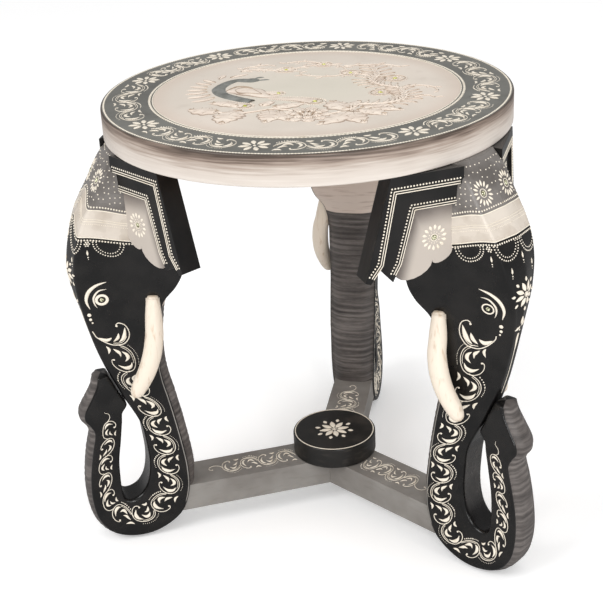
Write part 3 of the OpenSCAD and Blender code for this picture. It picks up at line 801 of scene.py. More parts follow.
# From the first section down the curls have no second line, and at the other they end
VINE_PLAIN, VINE_END = 18.5, 24.2
# How far each leg's first spray lies out and up from the others', its scale across and up,
# and the section where the vine starts below it
SPRAY = {"front_left": ((8.2, -28.8), (0.95, 0.8), 8.72),
         "front_right": ((0, 0), (1.0, 1.0), 7.85), "back": ((0, 0), (1.0, 1.0), 7.85)}


def vine_path(leg):
    """The vine's share of the flank's depth and its length so far, at each of VINE_U."""
    at = np.interp(VINE_U, VINE_SECTIONS, VINE_SHARES[leg])
    at = np.convolve(np.pad(at, 20, "edge"), np.ones(41) / 41, "valid")
    return at, run_along(flank(VINE_U, at))


def vine_chart(leg, side):
    """Paper down a trunk: x along the vine's middle line, y across it, outwards."""
    at, run = vine_path(leg)

    def chart(x, y):
        u = np.interp(x, run, VINE_U)
        return placed(flank(u, np.interp(x, run, at) + y / width(u)), leg, side)
    return chart


def vine(leg):
    """Curls from the cheek down the trunk, round the foot and up towards the curled tip,
    where the last one runs out in a thin tail."""
    drawing = Ornament()
    run = vine_path(leg)[1]
    at, k = np.interp(SPRAY[leg][2], VINE_U, run), 0
    end = np.interp(VINE_END, VINE_U, run)
    while at < end:
        u = np.interp(at, run, VINE_U)
        length = np.interp(u, [8, 10, 11.5, 17, 21, 25], [32, 31, 24.5, 24, 21.5, 19])
        half = np.interp(u, [8, 12, 16, 18.5, 21, 25], [11.5, 11, 10.5, 9.3, 8, 7])
        bold = k % 2 == 1 if u < VINE_PLAIN else None
        drawing.scroll(at, length, half, 1 if k % 2 else -1, bold,
                       np.interp(half, [5, 10], [0.85, 1.0]))
        at += length
        k += 1
    hand = 1 if k % 2 else -1
    drawing.line(curve([(at - 1, -1.5 * hand), (at + 3, 2.5 * hand), (at + 8, 2 * hand),
                        (at + 11, -1.5 * hand), (at + 15, -1.5 * hand)], 20),
                 np.linspace(0.8, 0.3, 20))
    return drawing


def cheek(leg):
    """The eye's ring, two brow crescents, a string of drops and the vine's first spray."""
    drawing = Ornament()
    eye = eye_place(leg)
    drawing.line(circle(eye, 5.3), 1.6 if leg == "front_right" else 3.2)
    drawing.line(eye + curve([(-5, 12.5), (2.5, 11), (7.5, 4), (7.5, -3), (5, -9)]),
                 plump(2.2, 16, 1.0), 0.7)
    drawing.line(eye + curve([(-5, 21.5), (5, 17.5), (12.5, 10), (15, 0), (12, -9.5)]),
                 plump(4.0, 16, 1.0), 0.8)
    shift, small, _ = SPRAY[leg]
    for x, y, radius in ((10, -17.5, 2.2), (9.5, -22.8, 1.7), (8.2, -26.8, 1.1)):
        drawing.dot(x + shift[0] * 0.44, y + eye[1] * 0.9, radius)

    def place(points):
        return np.array(points) * small + shift

    def at(points, count=16):
        return curve(place(points), count)

    first = (6, -25) if leg == "front_left" else (4.7, -29)
    drawing.line(at([first, (4.5, -30), (3.4, -34), (-2.8, -41.9), (-10.5, -47.8), (-18.6, -48.7),
                     (-24.2, -46.7), (-29.3, -39.9), (-30.6, -31.6), (-27.9, -22.6),
                     (-22, -18.6), (-19, -21)], 36), 1.1)
    drawing.line(at([(-12, -45.5), (-18.6, -46.2), (-23.2, -44), (-27, -38.4)]), 0.7)
    drawing.dot(*place((-19.4, -22.6)), 1.3)
    for leaf, broad in (([(-27.4, -26), (-25.6, -35), (-22.7, -41), (-17.8, -45)], 4.6),
                        ([(-19.7, -33), (-17.6, -39.3), (-12.4, -43.6)], 3.6),
                        ([(-11.8, -38), (-6, -40.4), (1.4, -35.6)], 4.0)):
        drawing.line(at(leaf), plump(broad * small[1] * 1.15, 16, 0.95, 1.1), 0.8)
    return drawing


# Height and distance round the head at each of the ring marks that the band's lines cross
HEAD_U = HEAD_FINE[::4]
HEAD_RING, HEAD_MARKS = leg_ring(HEAD_U)
HEAD_RING = HEAD_RING[:, ::-1]
HEAD_RUN = run_along(HEAD_RING)
BAND_MARKS = np.linspace(5, EAR_MARK, 50)
BAND_Z, BAND_X = [np.array([np.interp(-BAND_MARKS, -HEAD_MARKS[0, ::-1], row) for row in rows])
                  for rows in (HEAD_RING[..., 2], HEAD_RUN)]


def band_line(line, lift, side):
    """A line round one half of the head at lift above the band's upper or lower line."""
    height = head_height(BAND_MARKS, line) + lift
    u = [np.interp(-up, -BAND_Z[:, k], HEAD_U) for k, up in enumerate(height)]
    x = [np.interp(at, HEAD_U, BAND_X[:, k]) for k, at in enumerate(u)]
    return np.stack([np.array(x) * side, np.interp(u, HEAD_FINE, HEAD_UP)], -1)


def height_at(x, line):
    """Height of a line round the head at a distance from the forehead's middle."""
    return np.interp(x, np.abs(line[:, 0]), line[:, 1])


# Places on the paper round the head, in millimetres, and the pitch of the cap's dots
CAP_ROSETTE = np.array([17.5, 407])
FOREHEAD_FLOWER = np.array([0, 312.5])
SWAG_KNOT, CAP_PITCH = 35.5, 5.2


def head(leg):
    """Cap with its dots and rosettes, the band's lines, swags with drops, the forehead."""
    drawing = Ornament()
    for side in (1, -1):
        for lift, broad in ((0, 1.2), (-8.5, 0.7), (-10.5, 0.7)):
            drawing.line(band_line(CAP_LINE[leg], lift, side), broad, 0.4)
        drawing.row(band_line(CAP_LINE[leg], -13.2, side), 1.9, 0.5)
        drawing.row(band_line(CAP_LINE[leg], 3.0, side), 3.0, 1.0)
        drawing.line(band_line(BAND_LINE[leg], 0, side), 1.2, 0.4)
        drawing.row(band_line(BAND_LINE[leg], -3.0, side), 2.9, 1.0)
        foot = band_line(BAND_LINE[leg], -4.5, side)
        for first, last, deep in ((1.5, 30, 15), (41, 71, 13.5)):
            for grow, radius in ((1.0, 0.8), (0.78, 0.7)):
                turn = np.linspace(0, np.pi, 15)
                x = (first + last) / 2 - (last - first) / 2 * np.cos(turn) * grow
                hang = height_at(x, foot) - deep * np.sin(turn) * grow
                drawing.row(np.stack([x * side, hang], -1), 2.5, radius)
        knot = np.array([SWAG_KNOT * side, height_at(SWAG_KNOT, foot) - 2.5])
        drawing.beads(knot, 6, 2.3, 0.9)
        drawing.dot(*knot, 1.1)
        for x, drop in ((0, 11), (15.7, 22), (SWAG_KNOT, 9)):
            y = height_at(x, foot) - drop
            if x or side > 0:
                drawing.leaf((x * side, y), (x * side, y - 6), 2.2, 0, 1.4)
                drawing.dot(x * side, y - 8, 0.8)
                drawing.dot(x * side, y - 10.2, 0.5)
        # The cap's dots stand in a loose grid, clear of the rosette's petals
        above = band_line(CAP_LINE[leg], 6.5, side)
        for i, up in enumerate(np.arange(382, 431, CAP_PITCH)):
            for j, x in enumerate(np.arange(CAP_PITCH / 2 * (1 + i % 2), 62, CAP_PITCH)):
                clear = np.hypot(x - CAP_ROSETTE[0], up - CAP_ROSETTE[1]) > 12.5
                if clear and up > height_at(x, above):
                    drawing.dot(x * side + 0.5 * np.sin(5 * i + 2 * j),
                                up + 0.7 * np.sin(7 * i + 3 * j), 0.75)
        rosette_middle = CAP_ROSETTE * [side, 1]
        drawing.ring_of(rosette_middle, 15, 5.6, 10.8, 2.4, 0.1)
        drawing.line(circle(rosette_middle, 3.5, 19), 0.8)
    drawing.ring_of(FOREHEAD_FLOWER, 8, 3.6, 13.0, 4.7, TAU / 16, 0.9)
    drawing.ring_of(FOREHEAD_FLOWER, 8, 12.6, 17.2, 3.0, 0)
    drawing.dot(*FOREHEAD_FLOWER, 2.2)
    drawing.line(circle(FOREHEAD_FLOWER, 2.6, 13), 0.6)
    return drawing


FRONT_RUN = run_along(face_out(U_FINE, 0.0))
FLOWER_SECTION = 5.1


def keel_chart(leg):
    """Paper down the trunk's front edge: x sideways, y up from the forehead's flower."""
    def chart(x, y):
        run = np.interp(FLOWER_SECTION, U_FINE, FRONT_RUN) - np.asarray(y)
        return placed(wrapped(np.interp(run, FRONT_RUN, U_FINE), x), leg)
    return chart


def keel_line():
    """Below the flower: a three-leaved sprig, a dot and one long tapering drop."""
    drawing = Ornament()
    drawing.leaf((0, -33), (0, -24), 3.4, 0)
    drawing.leaf((0.5, -35), (6.5, -30), 3.0, -0.1)
    drawing.leaf((-0.5, -35), (-6.5, -39), 3.0, 0.1)
    drawing.dot(0, -39.5, 1.1)
    t = np.linspace(0, 1, 24)
    broad = 0.9 + 2.4 * np.exp(-((t - 0.1) / 0.12) ** 2)
    drawing.line(np.stack([t * 0, -43 - 72 * t], -1), broad, 0.6)
    return drawing


def flip_of(chart, x, y, outward):
    """1 or -1, so that a chart's normal points outward."""
    return 1 if np.dot(on(chart, np.array([x]), np.array([y]), 1)[1][0], outward) > 0 else -1


def ways(leg):
    """Unit vectors from the legs' common middle out along a leg, and to its left."""
    angle = np.radians(LEG_ANGLES[leg])
    out = np.array([np.cos(angle), np.sin(angle), 0])
    return out, np.array([-out[1], out[0], 0])


# A leg's left and right side, and the letters that name their pieces
SIDES = ((1, "a"), (-1, "b"))
for leg in LEG_ANGLES:
    out, left = ways(leg)
    chart = brow_chart(leg)
    parts = head(leg).laid(chart, flip_of(chart, 3.0, 340.0, out))
    chart = keel_chart(leg)
    parts += keel_line().laid(chart, flip_of(chart, 1.0, -60.0, out))
    piece("head_ornament_" + leg, parts, paste_finish)
    for side, hand in SIDES:
        chart = cheek_chart(leg, side)
        flip = flip_of(chart, 0.0, 0.0, left * side)
        parts = cheek(leg).laid(chart, flip)
        chart = vine_chart(leg, side)
        parts += vine(leg).laid(chart, flip_of(chart, 20.0, 0.0, left * side))
        piece(f"trunk_vine_{leg}_{hand}", parts, paste_finish)

# ---- The ears: a board butts against each cheek, carved in two steps, its outer panels black
# and its scalloped flap cream round a rosette. A border of dots and lines follows each step.

EAR_TURN = np.radians(63)
EAR_T, EAR_STEP = 16.0, 3.0
EAR_SEAM = np.array([HEAD_IN + HEAD_ROWS[0][2], HEAD_HALF - EAR_T / 2, LEG_H])
# Directions along the board, down it and out of its face
EAR_WAYS = np.array([[-np.cos(EAR_TURN), np.sin(EAR_TURN), 0], [0, 0, -1],
                     [np.sin(EAR_TURN), np.cos(EAR_TURN), 0]])
# The edges of the two steps, along the board and down it
STEP_1 = [(-5, 16), (56.4, 16), (70.2, 81), (79.5, 93)]
STEP_2 = [(-4, 35), (37.4, 35), (51.2, 84), (57, 94)]
ROSETTE = np.array([18.0, 65.0])
# Angles in radians: edges flatter than the first are dissolved, sharper than the second eased
FLAT_ANGLE, SHARP_ANGLE = 0.02, 0.6


def eased(name, node, finish, rim, marked=None):
    """A piece from a copy of a CAD node: its faces joined and its sharp edges eased."""
    shape = bmesh.new()
    shape.from_mesh(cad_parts[node].data)
    bmesh.ops.remove_doubles(shape, verts=shape.verts, dist=1e-6)
    bmesh.ops.dissolve_limit(shape, angle_limit=FLAT_ANGLE, verts=shape.verts, edges=shape.edges)
    sharp = [edge for edge in shape.edges
             if edge.is_manifold and edge.calc_face_angle() > SHARP_ANGLE]
    bmesh.ops.bevel(shape, geom=sharp, offset=rim * MM, segments=2, profile=0.5,
                    clamp_overlap=True, affect="EDGES")
    mesh = bpy.data.meshes.new(name)
    shape.to_mesh(mesh)
    shape.free()
    if marked:
        points = np.array([vertex.co for vertex in mesh.vertices]) / MM
        mesh.attributes.new("mark", "FLOAT_VECTOR", "POINT").data.foreach_set(
            "vector", marked(points).astype(np.float32).ravel())
    mesh.materials.append(finish)
    mesh.shade_smooth()
    made = bpy.data.objects.new(name, mesh)
    scene.collection.objects.link(made)
    even = made.modifiers.new("even_shading", "WEIGHTED_NORMAL")
    even.weight = 100
    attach(made, "root")
    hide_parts(node)


def ear_marks(leg, side):
    """How far each point is along the ear, down it and out of its flap's face."""
    angle = np.radians(LEG_ANGLES[leg])

    def marked(points):
        x, y = points[:, 0], points[:, 1] - AXIS_Y
        own = np.stack([x * np.cos(angle) + y * np.sin(angle),
                        (y * np.cos(angle) - x * np.sin(angle)) * side, points[:, 2]], -1)
        return (own - EAR_SEAM) @ EAR_WAYS.T
    return marked


def ear_paint(wire):
    """Black panels and a cream flap, told apart by how far a point is along the board, down
    it and out of the flap's face. The flap is browner towards the step above it: painted shade."""
    along, down, out = wire.read("mark").parts()
    place = wire.place()
    cloud = wire.noise(place, 30.0)
    rubbed = cloud.step(0.35, 0.7)
    # The flap is what shows below and inside of the second step's edge, which runs out by
    # 0.28 for each millimetre down
    beyond = (down - 35) * 0.2814 + 37.38 - along
    flap = (out.step(1.2, 0.5) * out.step(-15.9, -15.5) * down.step(33.5, 34.5)
            * beyond.step(-4.5, -3.5))
    # Painted shade: the flap darkens towards the second step's edge and towards its top
    shade = beyond.step(15, 0).maths("MAXIMUM", down.step(58, 36)) * (cloud * 0.8 + 0.5)
    cream = shade.mix(srgb(190, 180, 170), srgb(112, 103, 97))
    cream = out.step(-1.0, -3.0).mix(cream, srgb(186, 174, 156))
    colour = flap.mix(rubbed.mix(BLACK, WORN_BLACK), cream)
    strokes = wire.noise(place.stretched((1, 1, 0.3)), 160.0)
    return {"Base Color": colour, "Roughness": 0.38 + flap * 0.1 - cloud * 0.12,
            "Normal": strokes.bump(0.0004, 0.35)}


def level(x, y, up):
    """Points at x, y and one height."""
    x, y = np.broadcast_arrays(np.asarray(x, float), np.asarray(y, float))
    return np.stack([x, y, np.full(x.shape, float(up))], -1)


def ear_chart(leg, side, out):
    """Paper on an ear's panel: x along the ear and y down it."""
    def chart(x, y):
        return placed(EAR_SEAM + level(x, y, out) @ EAR_WAYS, leg, side)
    return chart


def ear_outward(leg, side):
    """The way out of an ear's face, in the table's frame."""
    return placed(EAR_WAYS[2], leg, side) - placed(np.zeros(3), leg, side)


def beside(path, gap):
    """A line that keeps gap to the left of a broken line, its corners sharp, with a point on
    every millimetre: each corner moves along the mitre of its two sides."""
    path = np.asarray(path, float)
    way = np.diff(path, axis=0)
    way /= np.linalg.norm(way, axis=1, keepdims=True)
    left = np.stack([way[:, 1], -way[:, 0]], -1)
    mitre = (left[:-1] + left[1:]) / (1 + (left[:-1] * left[1:]).sum(1))[:, None]
    path = path + gap * np.concatenate([left[:1], mitre, left[-1:]])
    run = run_along(path)
    at = np.union1d(np.arange(0, run[-1]), run)
    return np.stack([np.interp(at, run, path[:, 0]), np.interp(at, run, path[:, 1])], -1)


def ear_border(step):
    """Two lines on a step's edge and a row of dots behind them."""
    drawing = Ornament()
    drawing.line(beside(step, 0.8), 1.0)
    drawing.line(beside(step, 3.0), 1.0)
    drawing.row(beside(step, 5.8), 3.0, 0.95)
    return drawing


def rosette():
    """A gem's rim, a ring of beads and a ring of drop-shaped petals."""
    drawing = Ornament()
    drawing.line(circle(ROSETTE, 3.3), 1.0)
    drawing.ring_of(ROSETTE, 14, 7.2, 12.4, 3.3, 0.15, 1.4)
    drawing.beads(ROSETTE, 12, 5.4, 0.6)
    return drawing


ear_finish = material("ear_paint", ear_paint)
for leg in LEG_ANGLES:
    for side, hand in SIDES:
        eased(f"ear_board_{leg}_{hand}", f"ear_{leg}_{hand}", ear_finish, 0.8,
              ear_marks(leg, side))
        parts = []
        for out, drawing in ((2 * EAR_STEP, ear_border(STEP_1)), (EAR_STEP, ear_border(STEP_2)),
                             (0.0, rosette())):
            chart = ear_chart(leg, side, out)
            parts += drawing.laid(chart, flip_of(chart, 20.0, 40.0, ear_outward(leg, side)))
        piece(f"ear_ornament_{leg}_{hand}", parts, paste_finish)

# ---- The tusks: turned from pale wood and painted ivory with faint horn streaks. Each is let
# into a groove beside the trunk and held in the cheek by a peg.

TUSK_R = 9.5
# The root's line, from the cheek to where it leaves the groove, and where the peg bends:
# out from the head's back, to the side and up the drawing
TUSK_TOP = (33, 28, 288)
TUSK_LEAVE = (36, 35.0, 251)
PEG_BEND = (33.4, 21.5, 281)
PEG_D, PEG_L, TUSK_ROOT_D, ROD_SIDES = 8.0, 14.0, 14.0, 32
# The root's upper end, as a share of that line
ROOT_FROM = 0.27
# The tusk's middle line, measured as above, and its radius there
TUSK_ROWS = np.array([
    (33.8, 30.4, 281, 2.8), (33.85, 30.5, 280.2, 4.8), (33.95, 30.7, 278, 6.0),
    (34.3, 31.4, 274.5, 6.9), (34.9, 32.6, 266, 7.9),
    (35.4, 33.8, 258.4, 8.6), (36, 35.2, 251, 8.9), (37.5, 38.48, 240, TUSK_R * 0.97),
    (41.5, 40.47, 223, TUSK_R), (48, 40.47, 206, TUSK_R * 0.97),
    (55.5, 38.0, 191, TUSK_R * 0.9), (60, 36.1, 182, TUSK_R * 0.74),
    (62, 35.15, 178, TUSK_R * 0.52), (63, 34.68, 176, TUSK_R * 0.18)])


def drawn(rows):
    """Places of a leg's drawing, out from the head's back, in the leg's own frame."""
    return np.asarray(rows, float)[..., :3] * [1, 1, LEG_H / DRAWN_H] + [HEAD_IN, 0, 0]


def rod(middle, radius):
    """A round rod: circles square to the line of middle, closed at both ends. Its mark is how
    far along it a point is, 0 to 1."""
    middle = np.asarray(middle, float)
    radius = np.broadcast_to(np.asarray(radius, float), len(middle))
    middle = np.concatenate([middle[:1], middle, middle[-1:]])
    radius = np.concatenate([radius[:1] * 0.02, radius, radius[-1:] * 0.02])
    way = np.gradient(middle, axis=0)
    way[0], way[-1] = way[1], way[-2]
    right = np.cross(way, [0, 1, 0])
    right /= np.linalg.norm(right, axis=1, keepdims=True)
    up = np.cross(way, right)
    up /= np.linalg.norm(up, axis=1, keepdims=True)
    turn = np.arange(ROD_SIDES) * TAU / ROD_SIDES
    round_about = (right[:, None] * np.cos(turn)[None, :, None]
                   + up[:, None] * np.sin(turn)[None, :, None])
    grid = middle[:, None] + radius[:, None, None] * round_about
    mark = np.zeros(grid.shape)
    mark[..., 0] = np.linspace(0, 1, len(middle))[:, None]
    return grid.reshape(-1, 3), quads(len(middle), ROD_SIDES, True), mark.reshape(-1, 3)


def tusk(leg, side):
    """The curved tusk, its straight root and the peg in the cheek."""
    rows = curve(TUSK_ROWS, 70)
    top, leave = drawn(TUSK_TOP), drawn(TUSK_LEAVE)
    way = (leave - top) / np.linalg.norm(leave - top)
    middle = (top + leave) / 2
    bend = drawn(PEG_BEND)
    peg_end = top - way * PEG_L
    parts = [rod(drawn(rows), rows[:, 3]),
             rod([top + (leave - top) * ROOT_FROM, leave], TUSK_ROOT_D / 2),
             rod([middle, bend, peg_end], PEG_D / 2)]
    return [(placed(points, leg, side), faces if side > 0 else faces[:, ::-1], mark)
            for points, faces, mark in parts]


def ivory_paint(wire):
    """Warm ivory with tan streaks and flecks down the tusk, a little darker at both ends."""
    along, _, _ = wire.read("mark").parts()
    place = wire.place()
    streak = wire.noise(place.stretched((9, 9, 1)), 30.0, 5.0).step(0.55, 0.75)
    fleck = wire.noise(place.stretched((1, 1, 0.5)), 130.0).step(0.62, 0.8)
    colour = (streak * 0.6).mix(srgb(233, 220, 203), srgb(198, 172, 143))
    colour = (fleck * 0.6).mix(colour, srgb(184, 154, 126))
    ends = along.step(0.82, 1.0).maths("MAXIMUM", along.step(0.16, 0.02) * 0.7)
    colour = (ends * 0.8).mix(colour, srgb(206, 184, 158))
    return {"Base Color": colour, "Roughness": 0.34 + fleck * 0.2,
            "Normal": streak.bump(0.0003, 0.3)}


ivory_finish = material("ivory_paint", ivory_paint)
for leg in LEG_ANGLES:
    for side, hand in SIDES:
        piece(f"ivory_tusk_{leg}_{hand}", tusk(leg, side), ivory_finish,
              [f"tusk_{leg}_{hand}"])

# ---- The stretcher: three grey-taupe arms with a cream vine on top, let into the trunks and
# screwed from below to a black hub disc with a flower.

HUB = np.array([10.0, 0.0])
HUB_FOOT, HUB_H, HUB_R, HUB_BEVEL = 54.0, 23.0, 45.5, 1.5
# The arms meet the trunks' inner faces at this section and are let in by the housing
ARM_SECTION, ARM_HOUSING = 15, 9
ARM_REACH = HEAD_IN + SECTIONS[ARM_SECTION, 0] + ARM_HOUSING
# Where the vine starts, just past the hub's rim, and the length of each arm's curls
ARM_VINE = 47
ARM_CURLS = {"front_left": 20.5, "front_right": 17.5, "back": 20.5}


def satin_paint(base, worn):
    """A satin coat with rubbed patches and fine brush marks."""
    def paint(wire):
        place = wire.place()
        cloud = wire.noise(place, 18.0)
        colour = cloud.step(0.35, 0.7).mix(base, worn)
        brush = wire.noise(place.stretched((1, 1, 4)), 60.0)
        colour = (brush.step(0.5, 0.8) * 0.25).mix(colour, srgb(96, 88, 80))
        return {"Base Color": colour, "Roughness": 0.42 - cloud * 0.1,
                "Normal": brush.bump(0.0003, 0.3)}
    return paint


def arm_chart(leg):
    """Paper on an arm: x along it from the hub's middle, y to its left."""
    angle = np.radians(LEG_ANGLES[leg])
    way = ARM_REACH * np.array([np.cos(angle), np.sin(angle)]) - HUB
    way /= np.linalg.norm(way)

    def chart(x, y):
        return placed(level(HUB[0] + x * way[0] - y * way[1],
                            HUB[1] + x * way[1] + y * way[0], HUB_FOOT))
    return chart


def curls(drawing, start, length):
    """Four curls of vine, their bulges to alternate sides, every other one fine."""
    for k in range(4):
        drawing.scroll(start + k * length, length, 11.0, 1 if k % 2 else -1, k % 2 == 0, 0.9)
    return start + 4 * length


def arm_vine(length):
    """Four curls outwards from the hub's rim and a thin tail that ends in a drop."""
    drawing = Ornament()
    end = curls(drawing, ARM_VINE, length)
    tail = curve([(-1, 1), (3, -4), (9, -6), (14, -3.5), (14.5, 0.5), (11.5, 1.5)], 20)
    tail = tail + [end, 0]
    drawing.line(tail, np.linspace(0.9, 0.5, 20))
    drawing.dot(*tail[-1], 1.0)
    return drawing


def revolved(profile, centre, sides):
    """Profile (radius, height) turned about an upright axis. Its marks are both of these."""
    profile = np.asarray(profile, float)
    turn = np.arange(sides) * TAU / sides
    grid = np.stack([centre[0] + profile[:, :1] * np.cos(turn),
                     centre[1] + profile[:, :1] * np.sin(turn),
                     np.broadcast_to(profile[:, 1:], (len(profile), sides))], -1)
    mark = np.zeros(grid.shape)
    mark[..., :2] = profile[:, None]
    return (placed(grid).reshape(-1, 3), quads(len(profile), sides, True),
            mark.reshape(-1, 3))


def rounded(radius, low, high, rim):
    """A disc's profile, its rims rounded, from the middle below to the middle above."""
    turn = np.radians(np.linspace(0, 90, 6))
    flat = radius - rim
    return ([(0.01, low), (flat - 2, low)]
            + [(flat + rim * np.sin(a), low + rim - rim * np.cos(a)) for a in turn]
            + [(flat + rim * np.cos(a), high - rim + rim * np.sin(a)) for a in turn]
            + [(flat - 2, high), (0.01, high)])


def hub_flower():
    """A line on the rim, an eight-petalled flower and a diamond between its petals' tips."""
    drawing = Ornament()
    middle = np.zeros(2)
    drawing.line(circle(middle, HUB_R - 2.2, 97), 1.2)
    drawing.ring_of(middle, 8, 3.4, 16.5, 6.6, TAU / 16, 0.9)
    drawing.ring_of(middle, 8, 15.5, 21.5, 4.4, 0)
    drawing.line(circle(middle, 2.4, 17), 0.8)
    drawing.dot(0, 0, 1.5)
    return drawing


def hub_chart(x, y):
    """Paper on the hub, from its middle."""
    return placed(level(HUB[0] + x, HUB[1] + y, HUB_FOOT + HUB_H))


arm_finish = material("arm_paint", satin_paint(srgb(144, 140, 135), srgb(123, 118, 113)))
hub_finish = material("hub_paint", satin_paint(srgb(22, 21, 20), srgb(34, 32, 30)))
for leg in LEG_ANGLES:
    eased("arm_beam_" + leg, "arm_" + leg, arm_finish, 1.2)
    piece("arm_vine_" + leg, arm_vine(ARM_CURLS[leg]).laid(arm_chart(leg)), paste_finish)
piece("hub", [revolved(rounded(HUB_R, HUB_FOOT, HUB_FOOT + HUB_H, HUB_BEVEL), HUB, 128)],
      hub_finish, ["hub_disc"])
piece("hub_flower", hub_flower().laid(hub_chart), paste_finish)

# ---- The top: a round board with a grey border ring of flowers and vine, a roped rim, and a
# pale medallion. Its side is cream, burnished brown-grey from the upper edge.

TOP_R, TOP_ROUND = 203.0, 2.0
TOP_MIDDLE = (-4.0, 0.0)
# The field's edge, the border vine's middle line and how far a flower reaches along it
FIELD_R, BORDER_R, FLOWER_REACH = 152.5, 178.0, 18
# Where the border's flowers stand, in degrees
FLOWER_TURNS = [-135, -92, -45, -4, 46, 90, 135, 172]


def top_paint(wire):
    """Zones by the distance from the middle and the height of each point."""
    radius, up, _ = wire.read("mark").parts()
    place = wire.place()
    cloud = wire.noise(place, 9.0)
    fine = wire.noise(place, 55.0)
    # The field is cream, greener grey in its middle and pinker towards its edge
    field = cloud.step(0.35, 0.65).mix(srgb(233, 221, 208), srgb(223, 212, 199))
    field = (fine.step(0.55, 0.8) * 0.35).mix(field, srgb(208, 195, 181))
    field = (radius.step(125, 25) * 0.7).mix(field, srgb(223, 217, 201))
    field = (radius.step(128, 152) * 0.5).mix(field, srgb(214, 194, 178))
    # The border ring is mouse grey, and the wall cream below and rubbed brown above
    ring = cloud.step(0.3, 0.7).mix(srgb(124, 123, 117), srgb(105, 104, 99))
    ring = (fine.step(0.45, 0.8) * 0.5).mix(ring, srgb(86, 84, 79))
    brush = wire.noise(place.stretched((1, 1, 26)), 20.0, 4.0)
    worn = (up - LEG_H) / TOP_T + (brush - 0.5) * 0.75 + (cloud - 0.5) * 0.5
    wall = worn.node("ValToRGB", {"stops": [
        (0.0, srgb(216, 207, 198)), (0.4, srgb(202, 191, 181)), (0.68, srgb(166, 150, 138)),
        (0.86, srgb(122, 106, 95)), (1.0, srgb(80, 68, 60))]}, {0: worn})
    under = wire.noise(place.stretched((1, 6, 1)), 30.0, 4.0).mix(
        srgb(150, 112, 76), srgb(184, 146, 104))
    colour = radius.step(FIELD_R - 0.2, FIELD_R + 0.2).mix(field, ring)
    colour = radius.step(TOP_R - 1.7, TOP_R - 1.1).mix(colour, wall)
    colour = up.step(LEG_H + 0.4, LEG_H + 0.1).mix(colour, under)
    return {"Base Color": colour, "Roughness": 0.4 - fine * 0.08,
            "Normal": brush.bump(0.0003, 0.3)}


def top_chart(x, y):
    """Paper on the top, from its middle."""
    return placed(level(TOP_MIDDLE[0] + x, TOP_MIDDLE[1] + y, TABLE_H))


def border_chart(turned):
    """Paper bent round the border: x along it from an angle, y outwards."""
    def chart(x, y):
        turn = np.radians(turned) + np.asarray(x, float) / BORDER_R
        return top_chart((BORDER_R + y) * np.cos(turn), (BORDER_R + y) * np.sin(turn))
    return chart


def rope(drawing, radius, bead, pitch):
    """A twisted rope: a round line with beads along it."""
    ring = circle((0, 0), radius, 361)
    drawing.line(ring, bead * 0.8, bead * 0.35)
    drawing.row(ring[:-1], pitch, bead)


def border(length):
    """One span of the border: a flower at its start and four curls of vine."""
    drawing = Ornament()
    middle = np.zeros(2)
    drawing.ring_of(middle, 8, 3.6, 14.5, 5.4, TAU / 16, 1.2)
    drawing.dot(0, 0, 1.6)
    curls(drawing, FLOWER_REACH, (length - 2 * FLOWER_REACH) / 4)
    return drawing


top_finish = material("top_paint", top_paint)
piece("top_board", [revolved(rounded(TOP_R, LEG_H, TABLE_H, TOP_ROUND), TOP_MIDDLE, 240)],
      top_finish, ["table_top", "top_plugs"])
edges = Ornament()
rope(edges, TOP_R - 3.2, 1.1, 2.9)
rope(edges, FIELD_R + 2.6, 1.5, 3.7)
edges.line(circle((0, 0), FIELD_R - 0.4, 361), 1.2)
piece("top_edges", edges.laid(top_chart), paste_finish)
parts = []
for k, turned in enumerate(FLOWER_TURNS):
    onward = np.radians((FLOWER_TURNS[(k + 1) % len(FLOWER_TURNS)] - turned) % 360)
    chart = border_chart(turned)
    parts += border(onward * BORDER_R).laid(chart, flip_of(chart, 5.0, 0.0, (0, 0, 1)))
piece("top_border", parts, paste_finish)

# ---- The medallion: low relief in pinkish cream, shaded brown round every leaf: a peacock
# with a dark neck looks over its shoulder among leaves, a peony, fronds and a garland.


def sideways(path):
    """Unit vectors along a line and to its left, at each of its points."""
    way = np.gradient(path, axis=0)
    way /= np.linalg.norm(way, axis=1, keepdims=True)
    return way, np.stack([-way[:, 1], way[:, 0]], -1)


def blade(drawing, veins, start, end, broad, bend=0.1, lobes=0, early=0.8, proud=1.5):
    """A broad leaf with a middle vein; lobes notch its edge, each with two side veins."""
    count = 6 * lobes + 13
    t = np.linspace(0, 1, count)
    spine = bow(start, end, bend, count)
    wide = plump(broad * 1.1, count, early)
    if lobes:
        wide = wide * (1 - 0.2 * np.abs(np.cos(np.pi * lobes * t)) ** 3)
    drawing.line(spine, wide, proud)
    _, side = sideways(spine)
    veins.line(spine[1:-2], np.linspace(1.2, 0.5, count - 3), proud + 0.15)
    for k in range(lobes):
        at = int((k + 0.2) / lobes * (count - 1)) + 1
        out = min(at + 3, count - 1)
        for hand in (1, -1):
            veins.line([spine[at], spine[out] + side[out] * hand * wide[out] * 0.33],
                       0.6, proud * 0.95)


def eye_flower(drawing, veins, middle, radius):
    """Petals in concentric ovals round a gem."""
    drawing.line(circle(middle, radius, 33), 1.8)
    veins.line(circle(middle, radius - 1.7, 33), 0.6)
    drawing.ring_of(np.array(middle, float), 10, radius * 0.36, radius * 0.74, radius * 0.2)
    drawing.line(circle(middle, radius * 0.33, 17), 1.1)


